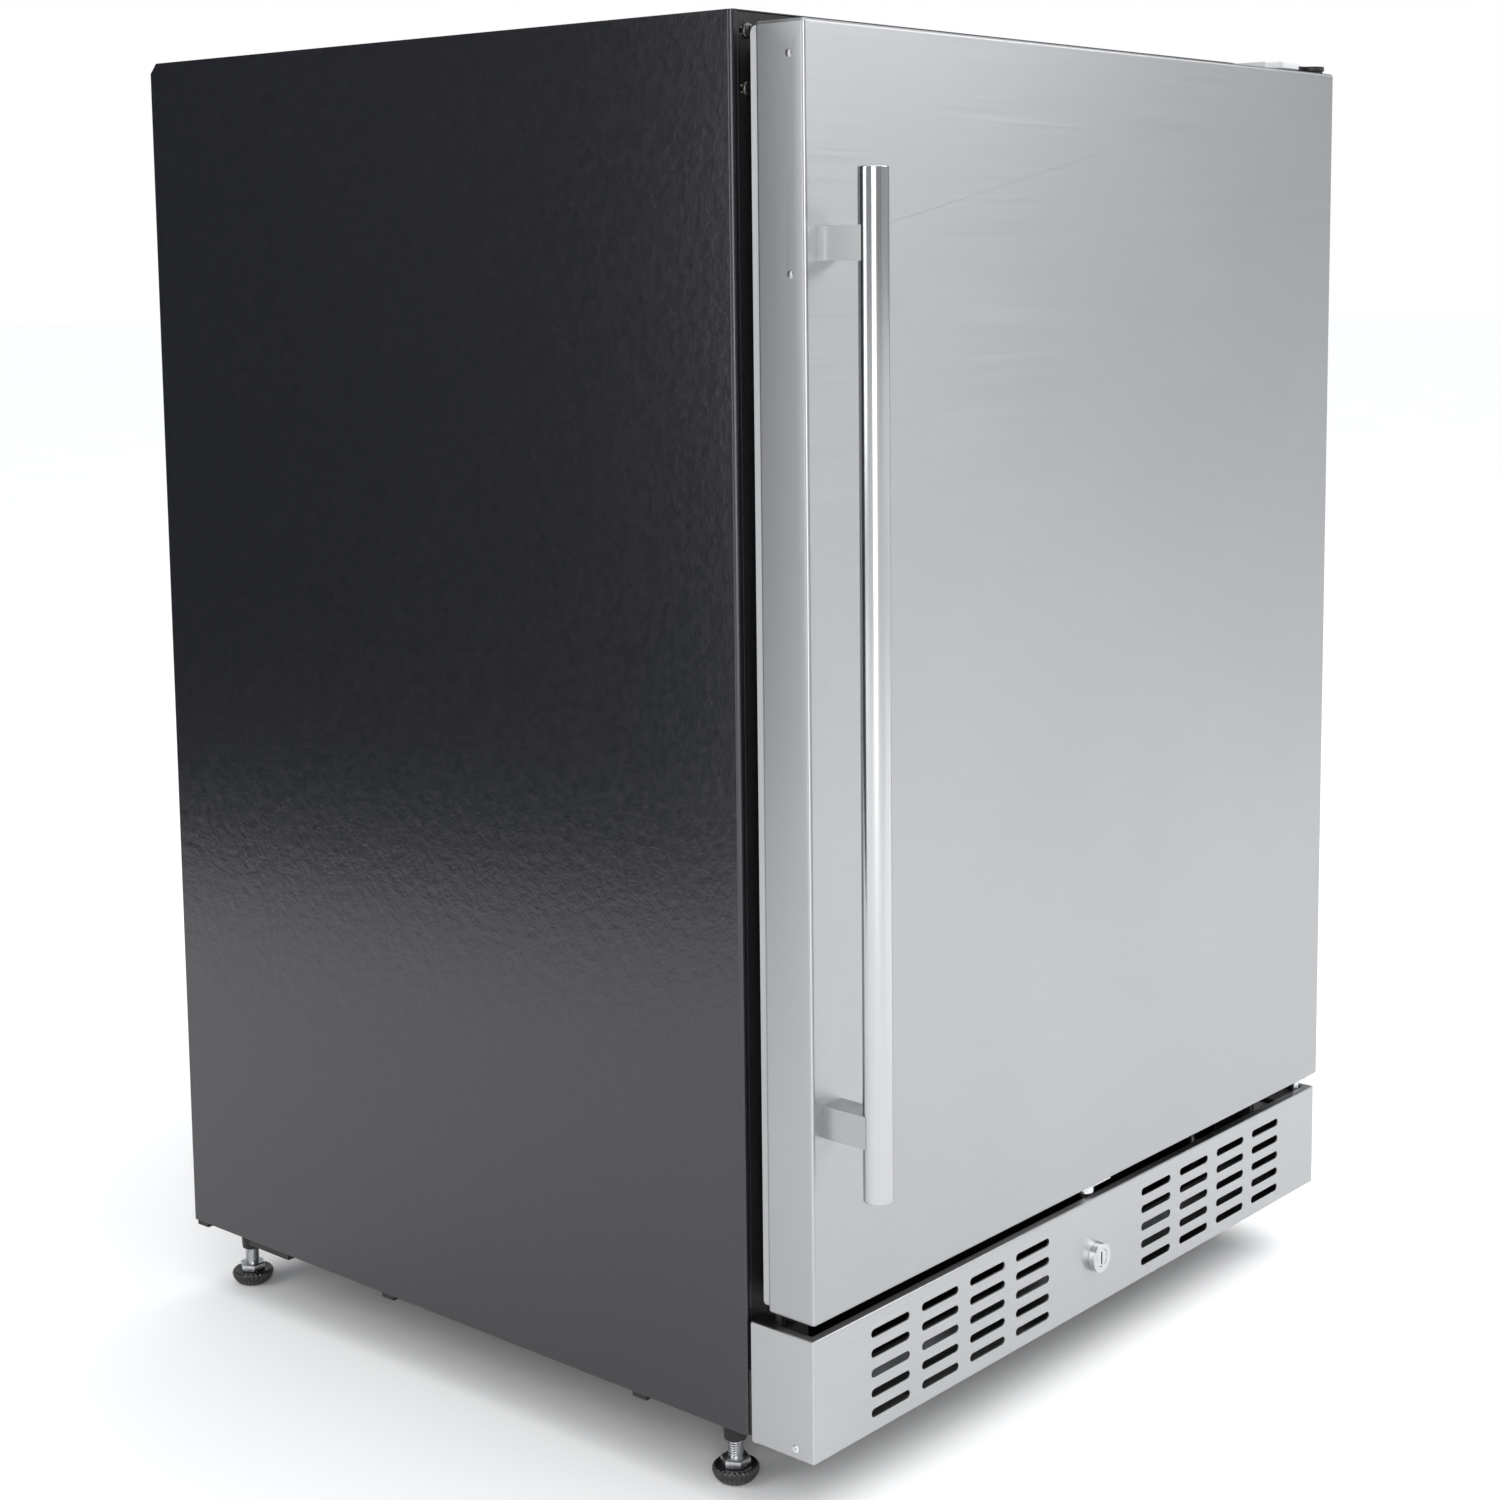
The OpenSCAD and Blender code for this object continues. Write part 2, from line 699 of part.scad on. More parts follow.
// Turning plug with its keyway and the crank pin that lifts the bolt.
module lock_plug() {
    turn = -45;
    color("#e3e5e8") at(0, 0, lock_z) rotate([0, turn, 0]) difference() {
        union() {
            translate([0, -kick_out - 4.6, 0]) rotate([-90, 0, 0]) cylinder(r = 6, h = 19);
            translate([0, -kick_out + 13.4, 0]) rotate([-90, 0, 0]) cylinder(r = 11.5, h = 3);
            translate([-lock_throw, -kick_out + 16, 0]) rotate([-90, 0, 0]) cylinder(r = 2, h = 8);
        }
        rotate([0, 45, 0]) translate([-0.8, -kick_out - 6, -4.2]) cube([1.6, 8, 8.4]);
    }
}

// Upright bolt with a slotted yoke behind the crank.
module lock_bolt() {
    low = lock_z - lock_throw * sin(45);
    color("#c9ccd0") difference() {
        union() {
            along_z(0, -hinge_out, 96, bolt_r, 26.5);
            span([-4, 4], [-46, -28.6], [96, 100]);
            span([-14, 12], [-34.4, -30.4], [low - 6, 100]);
        }
        span([-11.2, 9.5], [-36, -28], [low - 2.5, low + 2.5]);
    }
}

// ---- feet ----

module foot_brackets() {
    color("#141517") for (x = foot_xs, d = [foot_front_d, foot_rear_d]) difference() {
        union() {
            at(x, d, 27) cylinder(r1 = 7, r2 = 8.5, h = 23);
            along_z(x, d, 47.5, 15, cab_bottom - 47.5);
        }
        along_z(x, d, 20, 5.2, 40);
    }
}

// Levelling foot: bowl-shaped pad, hexagon and threaded stud.
module leveling_foot(x, d) {
    r = foot_d / 2;
    color("#1a1b1d") {
        at(x, d, 0) cylinder(r1 = r - 4.5, r2 = r, h = foot_h - 5);
        at(x, d, foot_h - 5) cylinder(r = r, h = 3.5);
        at(x, d, foot_h - 1.5) cylinder(r1 = r, r2 = r - 2, h = 1.5);
        at(x, d, foot_h) cylinder(r = 9.6, h = 4.5, $fn = 6);
        along_z(x, d, foot_h + 4, 5, 75);
    }
}

module foot_front_left() { leveling_foot(foot_xs[0], foot_front_d); }

module foot_front_right() { leveling_foot(foot_xs[1], foot_front_d); }

module foot_rear_left() { leveling_foot(foot_xs[0], foot_rear_d); }

module foot_rear_right() { leveling_foot(foot_xs[1], foot_rear_d); }

// ---- door ----

// Round pockets for the hinge bushes and the lock's strike.
module door_pockets() {
    along_z(hinge_x, -hinge_out, door_top - 22, 6.1, 40);
    along_z(hinge_x, -hinge_out, door_bottom - 20, 6.1, 42);
    along_z(0, -hinge_out, door_bottom - 20, 6.1, 40);
}

// Folded steel pan with a rear hem.
module door_skin() {
    half = door_w / 2;
    back = -door_gap;
    color("#babcbf") difference() {
        span([-half, half], [door_front, back], [door_bottom, door_top]);
        span([-half + sheet, half - sheet], [door_front + sheet, back - sheet],
             [door_bottom + sheet, door_top - sheet]);
        span([-half + 14, half - 14], [back - 5, back + 5], [door_bottom + 14, door_top - 14]);
        door_pockets();
        for (z = plug_zs) along_x(-half - 5, -43, z, plug_r + eps, 10);
        handle_screw_places() along_d(0, door_front - 5, 0, 3.1, 10);
    }
}

module handle_screw_places() {
    for (s = [-1, 1]) translate([handle_x, 0, handle_mid_z + s * bracket_span / 2]) children();
}

module door_foam() {
    half = door_w / 2 - sheet;
    color("#e8d9a0") difference() {
        union() {
            span([-half, half], [door_front + sheet, -door_gap - sheet],
                 [door_bottom + sheet, door_top - sheet]);
            span([-half + 13, half - 13], [-door_gap - 2, -door_gap],
                 [door_bottom + 14.2, door_top - 14.2]);
        }
        door_pockets();
        for (z = plug_zs) along_x(-half - 5, -43, z, plug_r + eps, 16);
        handle_screw_places() along_d(0, door_front - 5, 0, 3.2, 22);
    }
}

// Formed plastic back of the door, with a raised ridge that enters the door mouth.
module door_liner() {
    half = door_w / 2 - 1.5;
    back = -door_gap;
    color("#eceded") {
        plate([-half, half], [door_bottom + 1.5, door_top - 1.5], back, liner_t, 5);
        difference() {
            plate([-240, 240], [180, 836], back + 2, 31, 14);
            plate([-212, 212], [208, 808], back + 3, 40, 10);
            plate([-237, 237], [183, 833], back - 5, 33, 11);
        }
        difference() {
            plate([-240, 240], [180, 836], back + 2, 31, 14);
            plate([-215, 215], [205, 811], back - 5, 50, 10);
            plate([-215, 215], [205, 811], back - 5, 33, 11);
            plate([-237, 237], [183, 833], back - 5, 33, 11);
        }
        difference() {
            plate([-215, 215], [205, 811], back + 2, 31, 11);
            plate([-212, 212], [208, 808], back - 5, 50, 10);
        }
    }
}

// Magnetic seal around the door's back.
module door_gasket() {
    color("#17181a") difference() {
        plate([-283, 281.5], [139, 875], -door_gap + liner_t, 17.7 - liner_t, 6);
        plate([-265, 263.5], [157, 857], -door_gap, 30, 4);
    }
}

module handle_tube() {
    color("#d7d9dc") difference() {
        along_z(handle_x, tube_d, handle_mid_z - handle_len / 2, handle_r, handle_len);
        along_z(handle_x, tube_d, handle_mid_z - handle_len / 2 + 2, handle_r - 1.5, handle_len - 4);
    }
}

// Two square brackets, each saddled to the tube and held by a screw through the door.
module handle_brackets() {
    color("#c4c6c9") for (s = [-1, 1]) {
        z = handle_mid_z + s * bracket_span / 2;
        difference() {
            span([handle_x - bracket_w / 2, handle_x + bracket_w / 2],
                 [tube_d + 2, door_front], [z - bracket_h / 2, z + bracket_h / 2]);
            along_z(handle_x, tube_d, z - 20, handle_r + 0.05, 40);
        }
        along_d(handle_x, door_front - 4, z, 3, 20);
    }
}

// Flanged bushes that run on the hinge pins.
module door_bushes() {
    color("#101112") {
        difference() {
            union() {
                along_z(hinge_x, -hinge_out, door_top - 22, 6, 22);
                along_z(hinge_x, -hinge_out, door_top, 8.5, 1.5);
            }
            along_z(hinge_x, -hinge_out, door_top - 20, 3.05, 40);
        }
        difference() {
            union() {
                along_z(hinge_x, -hinge_out, door_bottom, 6, 22);
                along_z(hinge_x, -hinge_out, door_bottom - 1.5, 8.5, 1.5);
            }
            along_z(hinge_x, -hinge_out, door_bottom - 20, 3.05, 40);
        }
    }
}

// Keeper in the door's lower edge that takes the lock bolt.
module lock_strike() {
    color("#cfd2d5") difference() {
        union() {
            along_z(0, -hinge_out, door_bottom - 8, 6, 28);
            span([-17, 17], [-52, -33], [door_bottom - 1.5, door_bottom]);
        }
        along_z(0, -hinge_out, door_bottom - 20, 4.5, 36);
    }
}

module door_plugs() {
    color("#a3a5a8") for (z = plug_zs) along_x(-door_w / 2, -43, z, plug_r, 8);
}

left_side_panel();
right_side_panel();
top_panel();
back_panel();
rear_cover();
base_pan();
front_frame();
breaker_frame();
inner_liner();
foam_insulation();
machine_bay_wall();
compressor();
compressor_grommets();
start_relay_box();
condenser_coil();
condenser_fan_shroud();
condenser_fan_motor();
condenser_fan();
filter_drier();
refrigerant_lines();
drain_pan();
drain_tube();
mains_junction_box();
cord_gland();
evaporator_cover();
evaporator_coil();
evaporator_fan_motor();
evaporator_fan_grille();
evaporator_fan();
shelf_pilasters();
shelf_lower();
shelf_middle();
shelf_upper();
light_housing();
light_lens();
control_box();
thermostat_knob();
top_hinge_bracket();
hinge_cover();
bottom_hinge_bracket();
door_stop();
cabinet_screws();
kick_plate();
lock_housing();
lock_plug();
lock_bolt();
foot_brackets();
foot_front_left();
foot_front_right();
foot_rear_left();
foot_rear_right();
door_skin();
door_foam();
door_liner();
door_gasket();
handle_tube();
handle_brackets();
door_bushes();
lock_strike();
door_plugs();
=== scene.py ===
"""Looks of an undercounter refrigerator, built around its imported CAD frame."""
import json
import math

import bmesh
import bpy
from mathutils import Matrix, Vector


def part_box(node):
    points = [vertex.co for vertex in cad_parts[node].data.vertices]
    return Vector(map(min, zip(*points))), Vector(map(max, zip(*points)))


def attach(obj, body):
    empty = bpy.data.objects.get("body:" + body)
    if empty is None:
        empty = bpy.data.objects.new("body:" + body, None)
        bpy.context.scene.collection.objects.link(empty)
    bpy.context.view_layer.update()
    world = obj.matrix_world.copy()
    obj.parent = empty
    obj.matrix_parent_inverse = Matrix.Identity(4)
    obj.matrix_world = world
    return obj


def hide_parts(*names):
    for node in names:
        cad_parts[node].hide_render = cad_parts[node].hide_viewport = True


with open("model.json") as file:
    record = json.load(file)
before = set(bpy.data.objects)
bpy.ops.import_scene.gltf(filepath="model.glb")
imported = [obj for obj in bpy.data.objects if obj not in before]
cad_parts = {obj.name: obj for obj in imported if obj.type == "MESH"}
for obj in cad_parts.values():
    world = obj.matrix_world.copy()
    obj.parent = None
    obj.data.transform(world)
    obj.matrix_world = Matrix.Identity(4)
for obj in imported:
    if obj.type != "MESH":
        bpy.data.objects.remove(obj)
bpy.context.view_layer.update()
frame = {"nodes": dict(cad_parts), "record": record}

MM = 0.001
HINGE = (0.2845, -0.2685, 0)        # a point on the door's upright hinge axis
FLOOR_HALF = 30                     # half the floor's side, in metres
FRONT_HEAD = (4.6 * MM, 2.2 * MM)   # radius and height of a screw head on the cabinet's face
KICK_HEAD = (2.4 * MM, 0.9 * MM)    # the same on the kick plate's returns
REAR_HEAD = (3.9 * MM, 1.8 * MM)    # the same at the back


# ---------------------------------------------------------------- camera, lights and floor

def make_camera():
    """The camera stands in front of the left corner and looks slightly down."""
    place = (-1.3603, -1.1839, 0.7505)
    yaw, tilt, roll = 0.8705, 0.1216, -0.0076
    forward = Vector((math.sin(yaw) * math.cos(tilt), math.cos(yaw) * math.cos(tilt), -math.sin(tilt)))
    level = Vector((math.cos(yaw), -math.sin(yaw), 0))
    lift = level.cross(forward)
    right = level * math.cos(roll) + lift * math.sin(roll)
    up = lift * math.cos(roll) - level * math.sin(roll)
    data = bpy.data.cameras.new("camera")
    data.lens = 59.94
    data.sensor_width = 36
    data.shift_x = -0.0465
    data.shift_y = -0.12
    data.clip_end = 100
    camera = bpy.data.objects.new("camera", data)
    camera.matrix_world = Matrix((
        (right.x, up.x, -forward.x, place[0]),
        (right.y, up.y, -forward.y, place[1]),
        (right.z, up.z, -forward.z, place[2]),
        (0, 0, 0, 1)))
    bpy.context.scene.collection.objects.link(camera)
    bpy.context.scene.camera = camera


def area_light(name, place, target, size, glow):
    """A rectangular soft box; glow is how bright its face looks."""
    data = bpy.data.lights.new(name, "AREA")
    data.shape = "RECTANGLE"
    data.size, data.size_y = size
    data.energy = glow * math.pi * size[0] * size[1]
    light = bpy.data.objects.new(name, data)
    light.location = place
    light.rotation_euler = (Vector(target) - Vector(place)).to_track_quat("-Z", "Y").to_euler()
    light.visible_camera = False
    bpy.context.scene.collection.objects.link(light)


def reflection_card(name, place, target, width, height, look):
    """A dull card that only reflections see."""
    bm = bmesh.new()
    bmesh.ops.create_grid(bm, x_segments=1, y_segments=1, size=0.5)
    bmesh.ops.scale(bm, vec=(width, height, 1), verts=bm.verts)
    mesh = bpy.data.meshes.new(name)
    bm.to_mesh(mesh)
    bm.free()
    card = bpy.data.objects.new(name, mesh)
    towards = Vector((target[0] - place[0], target[1] - place[1], 0))
    card.matrix_world = facing(place, towards)
    mesh.materials.append(look.material)
    card.visible_camera = card.visible_diffuse = False
    card.visible_shadow = card.visible_transmission = False
    bpy.context.scene.collection.objects.link(card)


def make_world():
    """A white backdrop for the camera, and a dimmer, slightly blue sky for everything else."""
    world = bpy.data.worlds.new("studio")
    world.use_nodes = True
    tree = world.node_tree
    tree.nodes.clear()
    out = tree.nodes.new("ShaderNodeOutputWorld")
    seen = tree.nodes.new("ShaderNodeBackground")
    seen.inputs["Color"].default_value = (1, 1, 1, 1)
    seen.inputs["Strength"].default_value = 1.0
    lit = tree.nodes.new("ShaderNodeBackground")
    lit.inputs["Color"].default_value = (0.93, 0.96, 1.0, 1)
    lit.inputs["Strength"].default_value = 0.4
    ray = tree.nodes.new("ShaderNodeLightPath")
    mix = tree.nodes.new("ShaderNodeMixShader")
    tree.links.new(ray.outputs["Is Camera Ray"], mix.inputs["Fac"])
    tree.links.new(lit.outputs["Background"], mix.inputs[1])
    tree.links.new(seen.outputs["Background"], mix.inputs[2])
    tree.links.new(mix.outputs["Shader"], out.inputs["Surface"])
    bpy.context.scene.world = world
    bpy.context.scene.view_settings.view_transform = "Standard"


def make_floor():
    """A plain pale floor."""
    bm = bmesh.new()
    bmesh.ops.create_grid(bm, x_segments=1, y_segments=1, size=FLOOR_HALF)
    mesh = bpy.data.meshes.new("floor")
    bm.to_mesh(mesh)
    bm.free()
    floor = bpy.data.objects.new("floor", mesh)
    bpy.context.scene.collection.objects.link(floor)
    look = Look("floor_paper", (0.93, 0.93, 0.93), roughness=0.8)
    look.tint(look.noise(3, detail=2), (0.92, 0.92, 0.92), (0.94, 0.94, 0.94))
    mesh.materials.append(look.material)


def make_studio():
    """An even sky and soft boxes on the left, with a dark card that the left side reflects."""
    sun = bpy.data.lights.new("sky_panel", "SUN")
    sun.energy = 2.3
    sun.angle = math.radians(80)
    lamp = bpy.data.objects.new("sky_panel", sun)
    lamp.rotation_euler = (math.radians(8), math.radians(6), 0)
    bpy.context.scene.collection.objects.link(lamp)
    area_light("right_wall", (4.2, -4.4, 1.9), (0, 0, 0.7), (9.0, 4.6), 0.18)
    area_light("left_box", (-3.2, 1.4, 1.9), (-0.28, -0.3, 0.5), (2.0, 3.4), 2.3)
    area_light("camera_box", (-2.5, -2.2, 1.3), (-0.28, -0.3, 0.5), (1.4, 2.8), 4.2)
    area_light("floor_wash", (1.2, -1.5, 1.6), (1.1, -1.2, 0), (1.6, 1.6), 3.0)
    dull = Look("card_paper", (0.035, 0.036, 0.042), roughness=0.9, specular=0.1)
    dull.tint(dull.noise(2), (0.02, 0.021, 0.026), (0.045, 0.046, 0.052))
    reflection_card("dark_card", (-1.07, 1.5, 1.5), (-0.13, 1.17, 0), 1.9, 3.0, dull)
    make_world()
    make_floor()


# ---------------------------------------------------------------- materials

class Look:
    """A procedural material on object coordinates, in metres.

    start and end are the texture values between which a range runs from low to high."""

    def __init__(self, name, colour, metallic=0.0, roughness=0.5, specular=0.5):
        self.material = bpy.data.materials.new(name)
        self.material.use_nodes = True
        self.tree = self.material.node_tree
        self.shader = self.tree.nodes["Principled BSDF"]
        self.shader.inputs["Base Color"].default_value = (*colour, 1)
        self.shader.inputs["Metallic"].default_value = metallic
        self.shader.inputs["Roughness"].default_value = roughness
        self.shader.inputs["Specular IOR Level"].default_value = specular
        self.place = self.add("ShaderNodeTexCoord").outputs["Object"]
        self.last_bump = None

    def add(self, kind):
        """A new shader node."""
        return self.tree.nodes.new(kind)

    def link(self, source, target):
        self.tree.links.new(source, target)

    def stretched(self, stretch):
        """Coordinates scaled along each axis."""
        node = self.add("ShaderNodeMapping")
        node.inputs["Scale"].default_value = stretch
        self.link(self.place, node.inputs["Vector"])
        return node.outputs["Vector"]

    def noise(self, scale, detail=4, stretch=(1, 1, 1), roughness=0.55):
        """Cloudy noise; scale is about how many clouds there are in a metre."""
        node = self.add("ShaderNodeTexNoise")
        node.inputs["Scale"].default_value = scale
        node.inputs["Detail"].default_value = detail
        node.inputs["Roughness"].default_value = roughness
        self.link(self.stretched(stretch), node.inputs["Vector"])
        return node.outputs["Fac"]

    def cells(self, scale, output="Distance"):
        """A pattern of cells, as distances from their middles or as one colour each."""
        node = self.add("ShaderNodeTexVoronoi")
        node.inputs["Scale"].default_value = scale
        self.link(self.stretched((1, 1, 1)), node.inputs["Vector"])
        return node.outputs[output]

    def between(self, value, low, high, start=0.3, end=0.7):
        """A texture value turned into the range from low to high."""
        node = self.add("ShaderNodeMapRange")
        node.inputs["From Min"].default_value = start
        node.inputs["From Max"].default_value = end
        node.inputs["To Min"].default_value = low
        node.inputs["To Max"].default_value = high
        self.link(value, node.inputs["Value"])
        return node.outputs["Result"]

    def blend(self, factor, first, second):
        """A mix of two colours, each a tuple or another node's output."""
        node = self.add("ShaderNodeMix")
        node.data_type = "RGBA"
        self.link(factor, node.inputs["Factor"])
        for socket, colour in ((node.inputs[6], first), (node.inputs[7], second)):
            if isinstance(colour, tuple):
                socket.default_value = (*colour, 1)
            else:
                self.link(colour, socket)
        return node.outputs[2]

    def tint(self, value, first, second, start=0.3, end=0.7):
        """Colours the surface between two tones."""
        colour = self.blend(self.between(value, 0, 1, start, end), first, second)
        self.link(colour, self.shader.inputs["Base Color"])

    def rough(self, value, low, high, start=0.3, end=0.7):
        """Lets the roughness vary between low and high."""
        self.link(self.between(value, low, high, start, end), self.shader.inputs["Roughness"])

    def bump(self, height, depth, strength):
        """Adds relief on top of any before it, depth in metres."""
        node = self.add("ShaderNodeBump")
        node.inputs["Strength"].default_value = strength
        node.inputs["Distance"].default_value = depth
        self.link(height, node.inputs["Height"])
        if self.last_bump:
            self.link(self.last_bump, node.inputs["Normal"])
        self.last_bump = node.outputs["Normal"]
        self.link(self.last_bump, self.shader.inputs["Normal"])

    def set(self, name, value):
        self.shader.inputs[name].default_value = value


def brushed(name, dark, light, grain, low=0.3, high=0.4, turn=0.25, stretch=0.8):
    """Brushed steel. grain stretches the noise: small along the grain and large across it.
    turn and stretch say how the highlights lie and how long they are."""
    look = Look(name, light, metallic=1.0, roughness=0.34)
    fine = look.noise(1.0, detail=6, stretch=grain, roughness=0.7)
    broad = look.noise(1.0, detail=3, stretch=tuple(g * 0.22 for g in grain), roughness=0.6)
    cloud = look.noise(5, detail=2)
    colour = look.blend(look.between(fine, 0, 1, 0.25, 0.75), dark, light)
    hazy = tuple(0.5 * (d + l) for d, l in zip(dark, light))
    colour = look.blend(look.between(broad, 0, 0.7, 0.35, 0.7), colour, hazy)
    look.link(look.blend(look.between(cloud, 0, 0.25), colour, tuple(c * 0.93 for c in dark)),
              look.shader.inputs["Base Color"])
    look.rough(fine, low, high)
    look.bump(fine, 0.000012, 0.6)
    look.set("Anisotropic", stretch)
    look.set("Anisotropic Rotation", turn)
    tangent = look.add("ShaderNodeTangent")
    tangent.direction_type = "RADIAL"
    tangent.axis = "Z"
    look.link(tangent.outputs["Tangent"], look.shader.inputs["Tangent"])
    return look


def painted(name, dark, light, low=0.26, high=0.36, peel=0.00003, specular=0.4, wave=0.0):
    """Powder coat with orange peel and faint clouding. wave is a coarser relief under the peel."""
    look = Look(name, dark, roughness=0.3, specular=specular)
    look.tint(look.noise(260, detail=3), dark, light)
    look.rough(look.noise(180, detail=4), low, high)
    if wave:
        look.bump(look.noise(120, detail=4, roughness=0.6), wave, 0.5)
    look.bump(look.noise(420, detail=2, roughness=0.5), peel, 0.5)
    look.bump(look.noise(1500, detail=1), peel * 0.3, 0.3)
    return look


def plated(name, dark, light, low=0.16, high=0.34, spangle=160):
    """Zinc or galvanised plate with a crystalline spangle."""
    look = Look(name, light, metallic=1.0, roughness=0.3)
    look.tint(look.cells(spangle, output="Color"), dark, light, 0.1, 0.9)
    look.rough(look.noise(90, detail=4), low, high)
    look.bump(look.noise(600, detail=3), 0.00002, 0.4)
    return look


def plastic(name, dark, light, low=0.38, high=0.5, grain=0.00002, scale=1100, specular=0.5):
    """Moulded plastic with a fine spark-eroded grain."""
    look = Look(name, light, roughness=0.45, specular=specular)
    look.tint(look.noise(9, detail=3), dark, light)
    look.rough(look.noise(35, detail=4), low, high)
    look.bump(look.noise(scale, detail=2), grain, 0.5)
    return look


def make_looks():
    """Every material by name."""
    looks = {}
    looks["door_steel"] = brushed("door_steel", (0.36, 0.365, 0.373), (0.433, 0.437, 0.445),
                                  (5, 1300, 1300))
    looks["handle_steel"] = brushed("handle_steel", (0.40, 0.405, 0.41), (0.52, 0.525, 0.53),
                                    (1500, 1500, 7), 0.12, 0.2, turn=0.0, stretch=0.3)
    looks["kick_steel"] = brushed("kick_steel", (0.405, 0.41, 0.417), (0.485, 0.49, 0.497), (5, 1300, 1300))
    looks["bracket_steel"] = brushed("bracket_steel", (0.34, 0.345, 0.35), (0.42, 0.425, 0.43),
                                     (9, 1500, 1500), 0.28, 0.36, turn=0.25, stretch=0.5)
    looks["black_paint"] = painted("black_paint", (0.0065, 0.007, 0.0095), (0.0095, 0.010, 0.013),
                                   0.2, 0.25, 0.00008, specular=0.68, wave=0.00035)
    looks["black_steel"] = painted("black_steel", (0.006, 0.006, 0.007), (0.011, 0.011, 0.012), 0.4, 0.55)
    looks["compressor_paint"] = painted("compressor_paint", (0.008, 0.008, 0.009), (0.014, 0.014, 0.015),
                                        0.22, 0.34, 0.00005)
    looks["black_screw"] = painted("black_screw", (0.010, 0.010, 0.011), (0.016, 0.016, 0.017), 0.12, 0.2,
                                   0.00001, specular=0.8)
    chrome = Look("chrome", (0.56, 0.57, 0.58), metallic=1.0, roughness=0.08)
    chrome.tint(chrome.noise(60, detail=3), (0.50, 0.51, 0.52), (0.60, 0.605, 0.61))
    chrome.rough(chrome.noise(200, detail=4), 0.05, 0.14)
    chrome.bump(chrome.noise(900, detail=2), 0.000004, 0.4)
    looks["chrome"] = chrome
    looks["zinc"] = plated("zinc", (0.56, 0.57, 0.59), (0.74, 0.745, 0.755), 0.2, 0.36, 700)
    looks["galvanised"] = plated("galvanised", (0.34, 0.35, 0.37), (0.52, 0.53, 0.55))
    copper = Look("copper", (0.72, 0.36, 0.2), metallic=1.0, roughness=0.3)
    copper.tint(copper.noise(30, detail=5), (0.42, 0.2, 0.11), (0.78, 0.42, 0.25))
    copper.rough(copper.noise(120, detail=4), 0.2, 0.42)
    copper.bump(copper.noise(500, detail=3), 0.00003, 0.4)
    looks["copper"] = copper
    fins = Look("fin_aluminium", (0.6, 0.61, 0.62), metallic=1.0, roughness=0.4)
    fins.tint(fins.noise(40, detail=5), (0.4, 0.41, 0.42), (0.7, 0.71, 0.72))
    fins.rough(fins.noise(200, detail=3), 0.3, 0.5)
    fins.bump(fins.noise(700, detail=2), 0.00003, 0.4)
    looks["fin_aluminium"] = fins
    rubber = Look("black_rubber", (0.014, 0.014, 0.015), roughness=0.7, specular=0.3)
    rubber.tint(rubber.noise(120, detail=5), (0.011, 0.011, 0.012), (0.024, 0.024, 0.025))
    rubber.rough(rubber.noise(300, detail=4), 0.58, 0.82)
    rubber.bump(rubber.noise(1600, detail=3), 0.00003, 0.5)
    looks["black_rubber"] = rubber
    looks["liner_white"] = plastic("liner_white", (0.75, 0.76, 0.765), (0.79, 0.80, 0.805), 0.3, 0.36,
                                   0.00001, 520)
    # The door liner is really white. It is painted dark grey here as painted shade for its rim in the gap
    # between door and cabinet.
    looks["door_liner_painted_shade"] = plastic("door_liner_painted_shade", (0.28, 0.285, 0.29), (0.31, 0.315, 0.32),
                                       0.34, 0.4, 0.00001, 520)
    looks["cover_white"] = plastic("cover_white", (0.72, 0.73, 0.74), (0.79, 0.80, 0.805), 0.4, 0.52)
    looks["grey_plastic"] = plastic("grey_plastic", (0.5, 0.51, 0.53), (0.58, 0.59, 0.605))
    looks["black_plastic"] = plastic("black_plastic", (0.012, 0.012, 0.013), (0.02, 0.02, 0.022), 0.4, 0.55,
                                     0.00003)
    looks["pad_plastic"] = plastic("pad_plastic", (0.010, 0.010, 0.011), (0.016, 0.016, 0.018), 0.2, 0.3,
                                   0.00001, specular=0.7)
    lens = plastic("lens_plastic", (0.86, 0.86, 0.82), (0.93, 0.93, 0.90), 0.2, 0.3)
    lens.set("Emission Color", (1.0, 0.97, 0.9, 1))
    lens.set("Emission Strength", 1.6)
    looks["lens_plastic"] = lens
    foam = Look("foam", (0.72, 0.62, 0.36), roughness=0.95, specular=0.1)
    foam.tint(foam.cells(500), (0.55, 0.45, 0.22), (0.76, 0.66, 0.4), 0, 0.6)
    foam.bump(foam.cells(700), 0.0004, 0.8)
    looks["foam"] = foam
    wire = Look("chrome_wire", (0.74, 0.75, 0.76), metallic=1.0, roughness=0.14)
    wire.tint(wire.noise(80, detail=3), (0.64, 0.65, 0.66), (0.78, 0.785, 0.79))
    wire.rough(wire.noise(240, detail=4), 0.1, 0.22)
    wire.bump(wire.noise(900, detail=2), 0.000008, 0.4)
    looks["chrome_wire"] = wire
    return looks


# ---------------------------------------------------------------- mesh tools

def body_of_node(node):
    """The moving body that a CAD node belongs to."""
    for body, nodes in frame["record"]["behaviour"]["bodies"].items():
        if node in nodes:
            return body
    raise KeyError(node)


def finish_piece(made, look, node, body, stands_for):
    """Gives a piece its material and steady shading, and lets it ride on its body."""
    made.data.materials.clear()
    made.data.materials.append(LOOKS[look].material)
    steady = made.modifiers.new("steady_shading", "WEIGHTED_NORMAL")
    steady.keep_sharp = True
    steady.weight = 60
    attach(made, body or body_of_node(node))
    if stands_for:
        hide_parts(*stands_for)
    return made


def shade(mesh, angle):
    """Smooth shading, except across edges that turn by more than the angle."""
    for polygon in mesh.polygons:
        polygon.use_smooth = True
    mesh.set_sharp_from_angle(angle=math.radians(angle))


